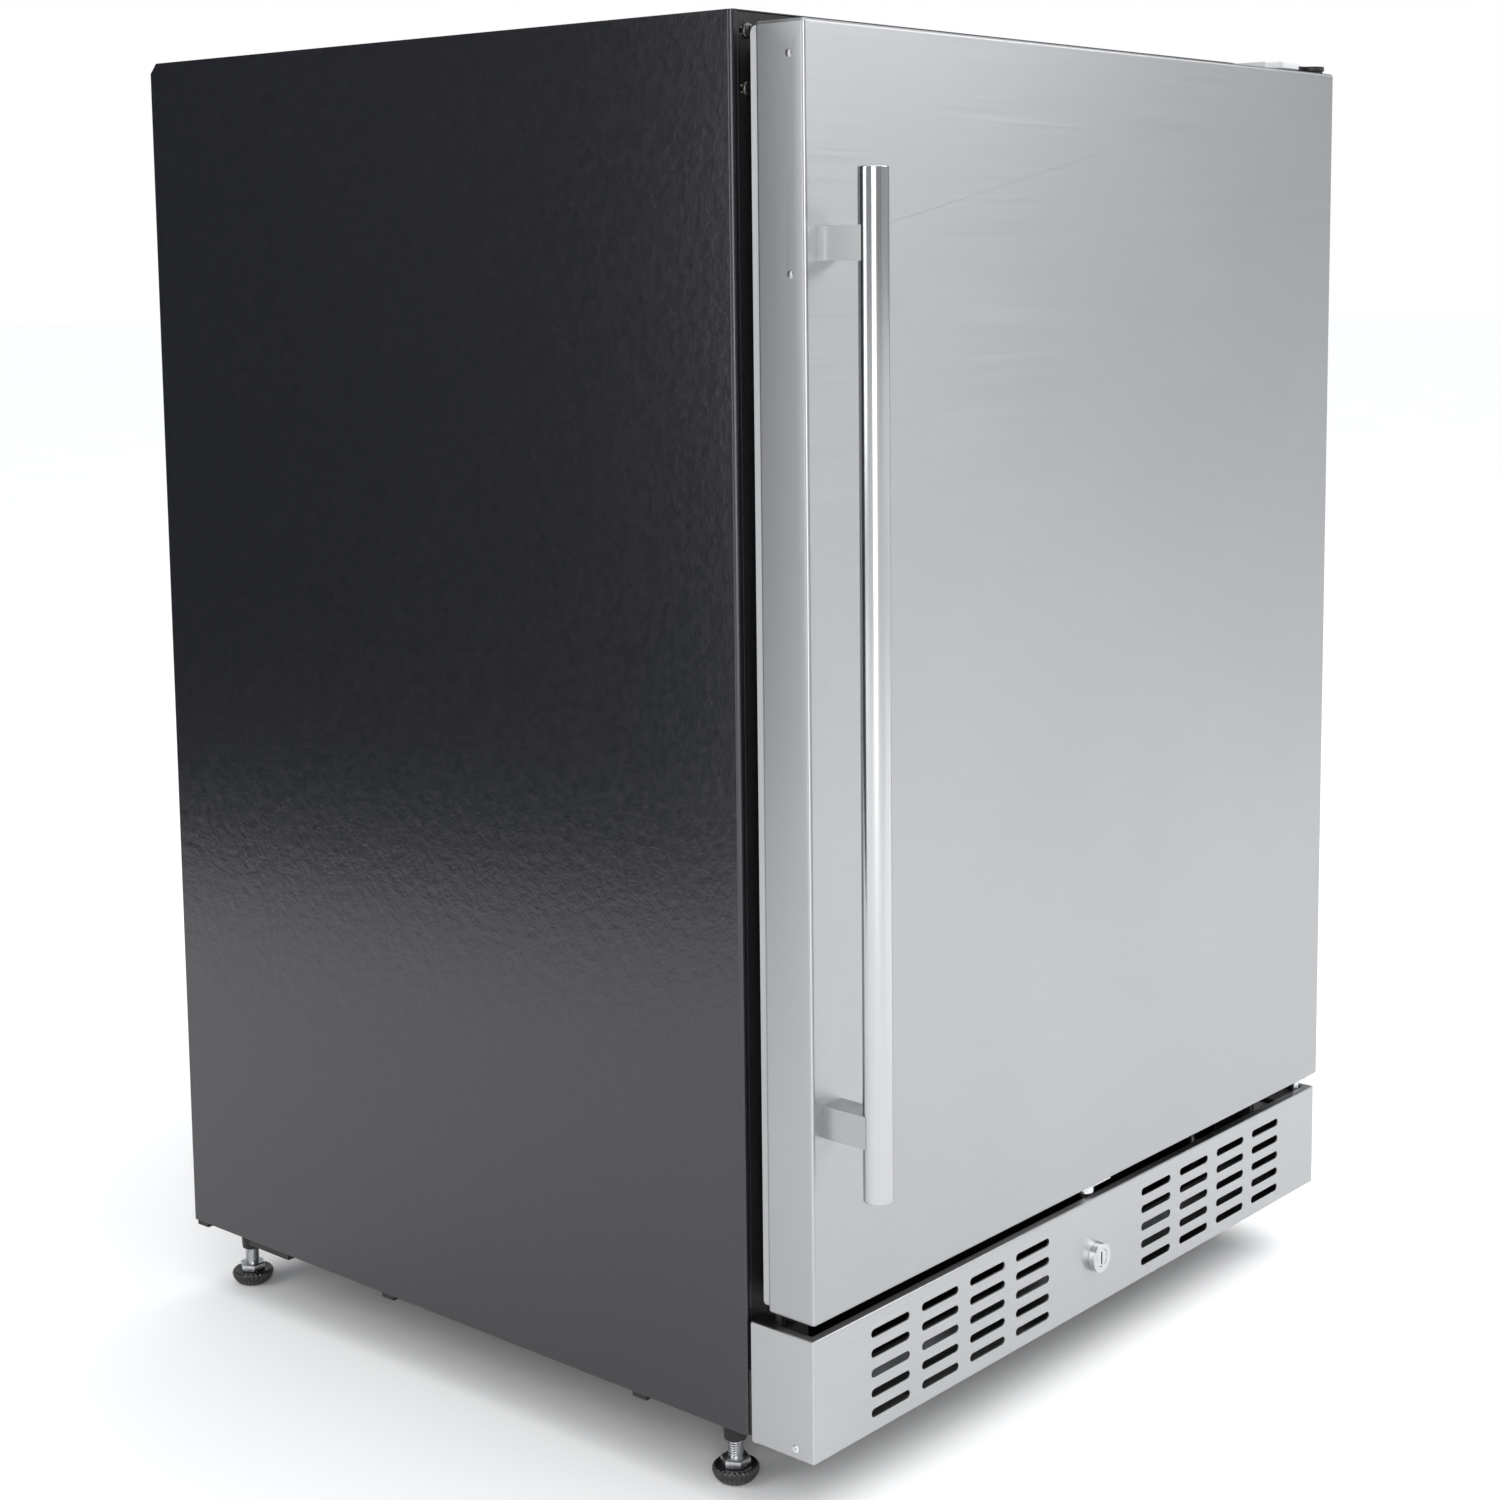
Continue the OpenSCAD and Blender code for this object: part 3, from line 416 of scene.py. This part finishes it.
def piece(name, bm, look, node=None, body=None, smooth=35):
    """Turns a bmesh into a finished piece that rides on a body and may stand for a CAD node."""
    bmesh.ops.recalc_face_normals(bm, faces=bm.faces)
    mesh = bpy.data.meshes.new(name)
    bm.to_mesh(mesh)
    bm.free()
    shade(mesh, smooth)
    made = bpy.data.objects.new(name, mesh)
    bpy.context.scene.collection.objects.link(made)
    return finish_piece(made, look, node, body, (node,) if node else ())


def box_edges(bm, skip_back):
    """Edges over 4 mm long that run along the edges of the mesh's own box."""
    same, near = 1e-6, 2e-6
    low = [min(v.co[i] for v in bm.verts) for i in range(3)]
    high = [max(v.co[i] for v in bm.verts) for i in range(3)]
    found = []
    for e in bm.edges:
        planes = 0
        for i in range(3):
            a, b = e.verts[0].co[i], e.verts[1].co[i]
            if abs(a - b) < same and min(abs(a - low[i]), abs(a - high[i])) < near:
                planes += 1
        at_back = all(abs(v.co.y - high[1]) < near for v in e.verts)
        if planes == 2 and e.calc_length() > 4 * MM and not (skip_back and at_back):
            found.append(e)
    return found


def round_edges(bm, edges, width):
    """Rounds edges of a bmesh with five facets each."""
    bmesh.ops.bevel(bm, geom=edges, offset=width, offset_type="OFFSET", segments=5,
                    profile=0.5, affect="EDGES", clamp_overlap=True)


def hollow_edges(bm):
    """Edges over 0.1 m long that run along the inside corners of a hollow."""
    long, sharp = 0.1, 1.0
    return [e for e in bm.edges if len(e.link_faces) == 2 and e.calc_length() > long
            and not e.is_convex and e.calc_face_angle(0) > sharp]


def refined(node, look, radius, segments=2, outer=0.0, hollow=0.0, skip_back=False):
    """A CAD node's shape with its sharp edges rounded, as pressing or moulding leaves them.

    outer rounds the edges of the node's own box, hollow its long inside corners and radius all
    that is left. skip_back leaves the box's rear edges sharp."""
    weld, flat = 0.004 * MM, math.radians(0.6)
    bm = bmesh.new()
    bm.from_mesh(frame["nodes"][node].data)
    bmesh.ops.remove_doubles(bm, verts=bm.verts, dist=weld)
    bmesh.ops.dissolve_limit(bm, angle_limit=flat, verts=bm.verts, edges=bm.edges)
    bmesh.ops.connect_verts_concave(bm, faces=bm.faces)
    if outer:
        round_edges(bm, box_edges(bm, skip_back), outer)
    if hollow:
        round_edges(bm, hollow_edges(bm), hollow)
    mesh = bpy.data.meshes.new(node + "_shape")
    bm.to_mesh(mesh)
    bm.free()
    shade(mesh, 32)
    made = bpy.data.objects.new(node + "_shape", mesh)
    bpy.context.scene.collection.objects.link(made)
    if radius:
        bevel = made.modifiers.new("round", "BEVEL")
        bevel.width = radius
        bevel.segments = segments
        bevel.limit_method = "ANGLE"
        bevel.angle_limit = math.radians(45)
        bevel.miter_outer = "MITER_ARC"
        bevel.use_clamp_overlap = True
    return finish_piece(made, look, node, None, (node,))


def add_lathe(bm, profile, centre, axis="Z", steps=48, closed=False):
    """Turns (radius, height) points about an axis through centre."""
    rings = []
    for radius, height in profile:
        ring = []
        count = 1 if radius < 1e-7 else steps
        for i in range(count):
            a = 2 * math.pi * i / steps
            x, y = radius * math.cos(a), radius * math.sin(a)
            local = {"Z": (x, y, height), "Y": (x, height, y), "X": (height, x, y)}[axis]
            ring.append(bm.verts.new(Vector(centre) + Vector(local)))
        rings.append(ring)
    pairs = list(zip(rings, rings[1:]))
    if closed:
        pairs.append((rings[-1], rings[0]))
    for first, second in pairs:
        for i in range(steps):
            j = (i + 1) % steps
            quad = [first[i % len(first)], first[j % len(first)],
                    second[j % len(second)], second[i % len(second)]]
            corners = list(dict.fromkeys(quad))
            if len(corners) > 2:
                bm.faces.new(corners)
    return rings


def arc(centre, radius, start, end, steps=5):
    """Points of a round stretch, angles in degrees."""
    points = []
    for i in range(steps + 1):
        a = math.radians(start + (end - start) * i / steps)
        points.append((centre[0] + radius * math.cos(a), centre[1] + radius * math.sin(a)))
    return points


def add_tube(bm, points, radius, sides, closed=False):
    """A round bar through points, its rings turned along the path; closed joins its two ends."""
    points = [Vector(p) for p in points]
    count = len(points)
    rings = []
    normal = None
    for i, p in enumerate(points):
        before = points[i - 1] if closed or i > 0 else p
        after = points[(i + 1) % count] if closed or i < count - 1 else p
        along = (after - before).normalized()
        if normal is None:
            normal = along.orthogonal().normalized()
        normal = (normal - along * normal.dot(along)).normalized()
        side = along.cross(normal)
        ring = [bm.verts.new(p + (normal * math.cos(2 * math.pi * k / sides)
                                  + side * math.sin(2 * math.pi * k / sides)) * radius)
                for k in range(sides)]
        rings.append(ring)
    pairs = list(zip(rings, rings[1:]))
    if closed:
        pairs.append((rings[-1], rings[0]))
    for first, second in pairs:
        for k in range(sides):
            n = (k + 1) % sides
            bm.faces.new((first[k], first[n], second[n], second[k]))
    if not closed:
        bm.faces.new(rings[0][::-1])
        bm.faces.new(rings[-1])


def rounded_path(corners, radius, steps=6):
    """A path through corner points with each inner corner turned into an arc."""
    almost_straight = 0.02
    corners = [Vector(c) for c in corners]
    path = [corners[0]]
    for before, corner, after in zip(corners, corners[1:], corners[2:]):
        into = (corner - before).normalized()
        out = (after - corner).normalized()
        turn = into.angle(out)
        if turn < almost_straight:
            path.append(corner)
            continue
        cut = min(radius * math.tan(turn / 2), (corner - before).length / 2.01,
                  (after - corner).length / 2.01)
        start, end = corner - into * cut, corner + out * cut
        for i in range(steps + 1):
            t = i / steps
            path.append(start.lerp(corner, t).lerp(corner.lerp(end, t), t))
    path.append(corners[-1])
    return path


def frame_sweep(bm, section, x, z, radius, steps=6):
    """Sweeps a closed (outward, depth) section around a rounded rectangle in x and z.

    radius is the radius of the rectangle's corners."""
    path = []
    for cx, cz, start in ((x[1] - radius, z[1] - radius, 0), (x[0] + radius, z[1] - radius, 90),
                          (x[0] + radius, z[0] + radius, 180), (x[1] - radius, z[0] + radius, 270)):
        for i in range(steps + 1):
            a = math.radians(start + 90 * i / steps)
            path.append((cx, cz, math.cos(a), math.sin(a)))
    rings = []
    for cx, cz, c, s in path:
        rings.append([bm.verts.new((cx + (radius + out) * c, depth, cz + (radius + out) * s))
                      for out, depth in section])
    for first, second in zip(rings, rings[1:] + rings[:1]):
        for k in range(len(section)):
            n = (k + 1) % len(section)
            bm.faces.new((first[k], first[n], second[n], second[k]))


def spans(node):
    """A node's box as x, y and z limits."""
    low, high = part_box(node)
    return (low.x, high.x), (low.y, high.y), (low.z, high.z)


def merge(bm, other, matrix):
    """Adds another bmesh to bm after moving it."""
    bmesh.ops.transform(other, matrix=matrix, verts=other.verts)
    mesh = bpy.data.meshes.new("merge")
    other.to_mesh(mesh)
    other.free()
    bm.from_mesh(mesh)
    bpy.data.meshes.remove(mesh)


def facing(place, towards):
    """A matrix that turns +Z to a direction and moves to a place."""
    turn = Vector(towards).to_track_quat("Z", "Y").to_matrix().to_4x4()
    return Matrix.Translation(Vector(place)) @ turn


def add_screw(bm, place, towards, radius, height, shank):
    """A pan-head screw with a cross recess; place is the middle of the face it stands on."""
    screw = bmesh.new()
    crown, rim_part = radius * 0.62, 0.25
    dome = [(radius, 0), (radius, height * rim_part)]
    dome += [(crown + (radius - crown) * math.cos(math.radians(a)),
              height * (rim_part + (1 - rim_part) * math.sin(math.radians(a)))) for a in (20, 40, 60, 80)]
    dome.append((crown, height))
    rings = add_lathe(screw, [(0, -shank), (radius * 0.5, -shank), (radius * 0.5, 0)] + dome,
                      (0, 0, 0), steps=40)
    arm, half, sink, taper = radius * 0.5, radius * 0.12, height * 0.55, 0.72
    cross = [(arm, half), (half, half), (half, arm), (-half, arm), (-half, half), (-arm, half),
             (-arm, -half), (-half, -half), (-half, -arm), (half, -arm), (half, -half), (arm, -half)]
    rim = [screw.verts.new((x, y, height)) for x, y in cross]
    low = [screw.verts.new((x * taper, y * taper, height - sink)) for x, y in cross]
    count = len(cross)
    for k in range(count):
        screw.faces.new((rim[k], rim[(k + 1) % count], low[(k + 1) % count], low[k]))
    screw.faces.new(low)
    loops = [screw.edges.get((rim[k], rim[(k + 1) % count])) for k in range(count)]
    top = rings[-1]
    loops += [screw.edges.get((top[k], top[(k + 1) % len(top)])) for k in range(len(top))]
    bmesh.ops.triangle_fill(screw, use_beauty=True, edges=loops)
    merge(bm, screw, facing(place, towards))


def add_wheel(bm, place, radius, hub, depth, blades, root, tip, bore, chord):
    """A fan wheel along the depth with twisted, cambered blades on a round-edged hub.

    root and tip are the blade's pitch in degrees at its two ends, chord is its greatest width."""
    x, y, z = place
    edge = 2 * MM
    add_lathe(bm, [(bore, 0), (hub - edge, 0)] + arc((hub - edge, edge), edge, -90, 0)
              + [(hub, depth), (bore, depth)], place, axis="Y", steps=64, closed=True)
    across, along = 9, 10
    start = hub * 0.9
    lean, camber, half_thick = 0.35, 0.1, 0.9 * MM
    keep = depth / 2 - 0.3 * MM
    for blade in range(blades):
        base = 2 * math.pi * blade / blades
        skins = []
        for side in (-1, 1):
            grid = []
            for i in range(along + 1):
                u = i / along
                rho = start + (radius - start) * u
                pitch = math.radians(root + (tip - root) * u)
                width = chord * (0.62 + 0.38 * math.sin(math.pi * min(1, 0.25 + 0.62 * u)))
                row = []
                for k in range(across + 1):
                    t = -1 + 2 * k / across
                    thick = side * half_thick * math.sqrt(max(0.06, 1 - t * t))
                    swing = t * width / 2 * math.cos(pitch) + thick * math.sin(pitch)
                    turn = base + lean * u + swing / rho
                    rise = t * width / 2 * math.sin(pitch) - thick * math.cos(pitch)
                    rise += camber * depth * (1 - t * t) * u
                    rise = max(-keep, min(keep, rise))
                    row.append(bm.verts.new((x + rho * math.cos(turn), y + depth / 2 + rise,
                                             z + rho * math.sin(turn))))
                grid.append(row)
            skins.append(grid)
        low, high = skins
        for i in range(along):
            for k in range(across):
                bm.faces.new((low[i][k], low[i][k + 1], low[i + 1][k + 1], low[i + 1][k]))
                bm.faces.new((high[i][k], high[i + 1][k], high[i + 1][k + 1], high[i][k + 1]))
        for k in range(across):
            bm.faces.new((low[0][k], high[0][k], high[0][k + 1], low[0][k + 1]))
            bm.faces.new((low[along][k], low[along][k + 1], high[along][k + 1], high[along][k]))
        for i in range(along):
            bm.faces.new((low[i][0], low[i + 1][0], high[i + 1][0], high[i][0]))
            bm.faces.new((low[i][across], high[i][across], high[i + 1][across], low[i + 1][across]))


# ---------------------------------------------------------------- pieces seen in the photo

def make_side_sheet(node, sign):
    """One side sheet, folded around the cabinet's front edge, with its top rear corner cut off."""
    (x0, x1), (front, back), (low, high) = spans(node)
    outside = x1 if sign > 0 else x0
    thick, fold, bend, bevel, clear = 1.2 * MM, 5 * MM, 3 * MM, 7 * MM, 0.2 * MM
    inner = bend - thick

    def round_fold(radius, angles):
        return [(bend - radius * math.cos(math.radians(a)),
                 front + bend - radius * math.sin(math.radians(a))) for a in angles]

    plan = [(0, back), (0, front + bend)] + round_fold(bend, range(15, 91, 15))
    plan += [(fold, front), (fold, front + thick)]
    plan += round_fold(inner, range(90, -1, -15)) + [(thick, back)]
    bm = bmesh.new()
    base = bm.faces.new([bm.verts.new((outside - sign * x, y, low)) for x, y in plan])
    top = bmesh.ops.extrude_face_region(bm, geom=[base])
    for item in top["geom"]:
        if isinstance(item, bmesh.types.BMVert):
            item.co.z = high - clear
    cut = bmesh.ops.bisect_plane(bm, geom=list(bm.verts) + list(bm.edges) + list(bm.faces),
                                 plane_co=(0, back - bevel / 2, high - bevel / 2),
                                 plane_no=(0, 1, 1), clear_outer=True)
    rim = [item for item in cut["geom_cut"] if isinstance(item, bmesh.types.BMEdge)]
    bmesh.ops.edgeloop_fill(bm, edges=rim)
    piece(node + "_sheet", bm, "black_paint", node, smooth=32)


def make_shell():
    """The cabinet's sheets, base and hinge plates, and the sleeve on the lower hinge pin."""
    make_side_sheet("left_side_panel", -1)
    make_side_sheet("right_side_panel", 1)
    refined("top_panel", "black_paint", 0.45 * MM)
    for node in ("back_panel", "rear_cover"):
        refined(node, "black_steel", 0.0)
    for node in ("base_pan", "front_frame", "foot_brackets"):
        refined(node, "black_steel", 0.4 * MM)
    for node in ("top_hinge_bracket", "bottom_hinge_bracket"):
        refined(node, "black_steel", 0.7 * MM)
    refined("door_stop", "black_steel", 0.4 * MM)
    refined("hinge_cover", "grey_plastic", 1.1 * MM, segments=3)
    bm = bmesh.new()
    sleeve = [(2, 118), (3.03, 118.4), (3.03, 131.6), (2, 131.9)]
    add_lathe(bm, [(r * MM, z * MM) for r, z in sleeve], HINGE, steps=32, closed=True)
    made = piece("lower_pin_sleeve", bm, "zinc", body="cabinet", smooth=40)


def make_screws():
    """Hinge screws and their spares on the left, screws in the kick plate's returns, rear screws."""
    bm = bmesh.new()
    (left, right), (front, _), _ = spans("front_frame")
    plate = front - 3 * MM
    for inset, heights in ((8.2 * MM, (0.850, 0.8825)), (22.7 * MM, (0.092, 0.108))):
        for z in heights:
            add_screw(bm, (right - inset, plate, z), (0, -1, 0), *FRONT_HEAD, 11 * MM)
            add_screw(bm, (left + inset, front, z), (0, -1, 0), *FRONT_HEAD, 8 * MM)
    piece("hinge_screws", bm, "black_screw", "cabinet_screws")
    bm = bmesh.new()
    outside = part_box("kick_plate")[1].x
    for side in (-1, 1):
        add_screw(bm, (side * outside, front - 38 * MM, 54 * MM), (side, 0, 0), *KICK_HEAD, 4 * MM)
    made = piece("kick_screws", bm, "zinc", body="cabinet")
    bm = bmesh.new()
    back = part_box("back_panel")[1].y
    places = [(x, z) for z in (0.85, 0.72, 0.59, 0.46, 0.33) for x in (-0.286, 0.286)]
    places += [(x, z) for x in (-0.286, -0.095, 0.095, 0.286) for z in (0.288, 0.066)]
    places += [(x, 0.86) for x in (-0.19, 0.0, 0.19)]
    for x, z in places:
        add_screw(bm, (x, back, z), (0, 1, 0), *REAR_HEAD, 5 * MM)
    made = piece("rear_screws", bm, "zinc", body="cabinet")


def make_door():
    """The steel pan with its foam, liner, seal and bushes, and the two plugs in its left side."""
    refined("door_skin", "door_steel", 0.4 * MM, outer=2.2 * MM)
    refined("door_foam", "foam", 0.2 * MM, segments=1)
    # the liner takes the dark grey look: painted shade for the door gap, not its own white
    refined("door_liner", "door_liner_painted_shade", 1.2 * MM, segments=3)
    refined("door_bushes", "black_plastic", 0.4 * MM)
    refined("lock_strike", "zinc", 0.4 * MM)
    (x0, x1), (y0, y1), (z0, z1) = spans("door_gasket")
    bm = bmesh.new()
    frame_sweep(bm, gasket_section(y0, y1), (x0, x1), (z0, z1), 6 * MM)
    piece("door_seal", bm, "black_rubber", "door_gasket", smooth=50)
    (plug_x, _), _, _ = spans("door_skin")
    bm = bmesh.new()
    _, (d0, d1), _ = spans("door_plugs")
    plug = [(0, 7), (2.1, 7), (2.1, 0), (2.5, 0), (2.4, -0.3), (1.9, -0.6), (1.1, -0.75), (0, -0.8)]
    for z in (0.745, 0.8665):
        add_lathe(bm, [(r * MM, h * MM) for r, h in plug], (plug_x, (d0 + d1) / 2, z), axis="X", steps=40)
    piece("side_plugs", bm, "door_steel", "door_plugs", smooth=40)


def gasket_section(y0, y1):
    """Bellows and magnet pocket of the seal as (outward, depth), from the door to the cabinet."""
    deep = y1 - y0
    shape = [(0, 0), (-18, 0), (-18, 0.12), (-14.5, 0.2), (-17.5, 0.34), (-14.5, 0.48), (-17.8, 0.6),
             (-17.8, 0.92), (-16.8, 1), (-1.2, 1), (-0.3, 0.92), (-0.3, 0.6), (-3.5, 0.48),
             (-0.5, 0.34), (-3.5, 0.2), (0, 0.12)]
    return [(out * MM, y0 + deep * part) for out, part in shape]


def make_handle():
    """The round bar and its two brackets."""
    refined("handle_tube", "handle_steel", 0.7 * MM, segments=3)
    refined("handle_brackets", "bracket_steel", 0.5 * MM, segments=3)


def make_kick_plate():
    """The slotted plate and the lock in it."""
    refined("kick_plate", "kick_steel", 0.22 * MM, outer=2.2 * MM, skip_back=True)
    refined("lock_housing", "chrome", 0.9 * MM, segments=3)
    refined("lock_plug", "chrome", 0.25 * MM)
    refined("lock_bolt", "zinc", 0.35 * MM)


def add_thread(bm, x, y, low, high, root, crest, pitch, steps=20):
    """The winding ridge of a thread on an upright stud."""
    turns = int((high - low) / pitch)
    shape = [(root, 0.0), (crest, 0.28), (crest, 0.42), (root, 0.72)]
    columns = []
    for i in range(turns * steps + 1):
        a = 2 * math.pi * i / steps
        z = low + pitch * i / steps
        columns.append([bm.verts.new((x + r * math.cos(a), y + r * math.sin(a), z + pitch * s))
                        for r, s in shape])
    for i in range(turns * steps):
        first, second = columns[i], columns[i + 1]
        for k in range(3):
            bm.faces.new((first[k], second[k], second[k + 1], first[k + 1]))
        if i + steps < len(columns) - 1:
            bm.faces.new((first[3], second[3], columns[i + steps + 1][0], columns[i + steps][0]))


def make_feet():
    """Each levelling foot: a fluted pad, a hexagon and a threaded stud."""
    flute_depths = (0, 0, 0.4, 1.2, 1.3, 1.2, 0.5, 0, 0, 0, 0)
    for node in ("foot_front_left", "foot_front_right", "foot_rear_left", "foot_rear_right"):
        (x0, x1), (y0, y1), (z0, z1) = spans(node)
        x, y = (x0 + x1) / 2, (y0 + y1) / 2
        bm = bmesh.new()
        sides, flutes = 168, 28
        profile = [(0, 0), (9.6, 0), (10.8, 0.5), (12.8, 2.6), (14.3, 5.0), (15, 7.4), (14.7, 9.2),
                   (13.4, 10.3), (11.6, 10.2), (10.4, 9.6), (0, 9.6)]
        rings = add_lathe(bm, [(r * MM, h * MM) for r, h in profile], (x, y, z0), steps=sides)
        for ring, depth in zip(rings, flute_depths):
            for i, v in enumerate(ring):
                if len(ring) < sides:
                    continue
                wave = 0.5 - 0.5 * math.cos(2 * math.pi * i * flutes / sides)
                away = Vector((v.co.x - x, v.co.y - y, 0))
                v.co -= away.normalized() * depth * wave * MM
        piece(node + "_pad", bm, "pad_plastic", node, smooth=50)
        bm = bmesh.new()
        hexagon = [(0, 9.4), (8.8, 9.4), (9.6, 10.4), (9.6, 14.6), (8.6, 15.4), (0, 15.4)]
        add_lathe(bm, [(r * MM, h * MM) for r, h in hexagon], (x, y, z0), steps=6)
        made = piece(node + "_nut", bm, "zinc", body=node, smooth=20)
        bm = bmesh.new()
        base, core = z0 + 15 * MM, 4.3 * MM
        add_lathe(bm, [(0, base), (core, base), (core, z1 - 1 * MM), (3.6 * MM, z1), (0, z1)],
                  (x, y, 0), steps=32)
        add_thread(bm, x, y, z0 + 15.3 * MM, z1 - 2 * MM, 4.25 * MM, 4.95 * MM, 1.5 * MM)
        made = piece(node + "_stud", bm, "zinc", body=node, smooth=60)


# ---------------------------------------------------------------- pieces behind the door

def make_interior():
    """The liner with its shelves, light, controls and evaporator cover."""
    refined("inner_liner", "liner_white", 0.0, hollow=8 * MM)
    refined("breaker_frame", "grey_plastic", 0.6 * MM)
    refined("foam_insulation", "foam", 0.2 * MM, segments=1)
    refined("shelf_pilasters", "galvanised", 0.3 * MM)
    refined("light_housing", "cover_white", 0.8 * MM, segments=3)
    refined("light_lens", "lens_plastic", 0.8 * MM, segments=3)
    refined("control_box", "cover_white", 1.0 * MM, segments=3)
    refined("evaporator_cover", "cover_white", 0.0, outer=2.5 * MM)
    refined("thermostat_knob", "black_plastic", 0.5 * MM, segments=3)
    for node in ("shelf_lower", "shelf_middle", "shelf_upper"):
        make_shelf(node)
    make_fan_guard()
    make_dial_marks()


def make_shelf(node):
    """Chromed wires: a closed frame with two cross rails, and thin wires laid over them."""
    (x0, x1), (y0, y1), (z0, z1) = spans(node)
    thick, thin, count = 3 * MM, 1.7 * MM, 25
    level = z0 + thick
    top = z1 - thin
    first, last = x0 + 9 * MM, x1 - 9 * MM
    bm = bmesh.new()
    corners = [(x0 + thick, y0 + thick, level), (x1 - thick, y0 + thick, level),
               (x1 - thick, y1 - thick, level), (x0 + thick, y1 - thick, level)]
    loop = []
    for i, corner in enumerate(corners):
        before, after = Vector(corners[i - 1]), Vector(corners[(i + 1) % 4])
        loop += rounded_path([(before + Vector(corner)) / 2, corner, (Vector(corner) + after) / 2],
                             12 * MM)[:-1]
    add_tube(bm, loop, thick, sides=16, closed=True)
    for part in (1 / 3, 2 / 3):
        y = y0 + (y1 - y0) * part
        add_tube(bm, [(x0 + thick, y, level), (x1 - thick, y, level)], thick * 0.9, sides=14)
    for i in range(count):
        x = first + (last - first) * i / (count - 1)
        bends = [(x, y0 + thick, level - 1 * MM), (x, y0 + 1.9 * MM, top), (x, y1 - 2 * MM, top)]
        path = rounded_path(bends, 1.5 * MM, steps=3)
        add_tube(bm, path, thin, sides=10)
    piece(node + "_wires", bm, "chrome_wire", node, smooth=60)


def make_fan_guard():
    """Five wire rings in front of eight slightly curved spokes."""
    (x0, x1), (y0, y1), (z0, z1) = spans("evaporator_fan_grille")
    x, z = (x0 + x1) / 2, (z0 + z1) / 2
    outer = (x1 - x0) / 2
    wire = 1.2 * MM
    steps, spokes, stretches, lean = 64, 8, 8, 0.25
    bm = bmesh.new()
    for ring in range(5):
        radius = outer - wire - ring * 9 * MM
        loop = [(x + radius * math.cos(a), y0 + wire, z + radius * math.sin(a))
                for a in (2 * math.pi * i / steps for i in range(steps))]
        add_tube(bm, loop, wire, sides=10, closed=True)
    for spoke in range(spokes):
        a = 2 * math.pi * spoke / spokes
        points = []
        for i in range(stretches + 1):
            radius = 8 * MM + (outer - 9.5 * MM) * i / stretches
            turn = a + lean * i / stretches
            points.append((x + radius * math.cos(turn), y1 - 1.1 * MM, z + radius * math.sin(turn)))
        add_tube(bm, points, 1.0 * MM, sides=10)
    piece("fan_guard", bm, "cover_white", "evaporator_fan_grille", smooth=60)


def make_dial_marks():
    """Raised ticks around the thermostat knob, longer at each end of the scale."""
    (x0, x1), _, (z0, z1) = spans("thermostat_knob")
    x, z = (x0 + x1) / 2, (z0 + z1) / 2
    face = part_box("control_box")[0].y
    reach, count = 14.6, 7          # reach in mm
    bm = bmesh.new()
    for i in range(count):
        a = math.radians(-30 + 40 * i)
        direction = Vector((math.cos(a), 0, math.sin(a)))
        start = Vector((x, face, z)) + direction * reach * MM
        end = start + direction * (2.4 * MM if i in (0, count - 1) else 1.4 * MM)
        if abs(end.z - z) < reach * MM:
            add_tube(bm, [start, end], 0.35 * MM, sides=8)
    made = piece("dial_marks", bm, "black_plastic", body="cabinet", smooth=60)


def make_fans():
    """The condenser's and the evaporator's five-bladed fan wheels."""
    for node, look, hub, root, bore, chord in (
            ("condenser_fan", "black_plastic", 20 * MM, 34, 2.6 * MM, 44 * MM),
            ("evaporator_fan", "cover_white", 11 * MM, 32, 1.6 * MM, 24 * MM)):
        bm = bmesh.new()
        (x0, x1), (y0, y1), (z0, z1) = spans(node)
        add_wheel(bm, ((x0 + x1) / 2, y0, (z0 + z1) / 2), (x1 - x0) / 2 - 0.2 * MM, hub, y1 - y0,
                  5, root, 20, bore, chord)
        piece(node + "_wheel", bm, look, node, smooth=40)


def make_machine_bay():
    """The parts behind the rear cover and behind the evaporator's cover, radii in mm."""
    for node, look, radius in (
            ("machine_bay_wall", "galvanised", 0.3), ("compressor", "compressor_paint", 0.8),
            ("compressor_grommets", "black_rubber", 0.8), ("start_relay_box", "black_plastic", 0.8),
            ("condenser_coil", "fin_aluminium", 0.0), ("condenser_fan_shroud", "black_plastic", 0.3),
            ("condenser_fan_motor", "black_plastic", 0.5), ("filter_drier", "copper", 0.4),
            ("refrigerant_lines", "copper", 0.0), ("drain_pan", "galvanised", 0.4),
            ("drain_tube", "grey_plastic", 0.3), ("mains_junction_box", "black_plastic", 0.9),
            ("cord_gland", "black_rubber", 0.5), ("evaporator_coil", "fin_aluminium", 0.0),
            ("evaporator_fan_motor", "black_plastic", 0.4)):
        refined(node, look, radius * MM)


LOOKS = make_looks()
make_camera()
make_studio()
make_shell()
make_screws()
make_door()
make_handle()
make_kick_plate()
make_feet()
make_interior()
make_fans()
make_machine_bay()
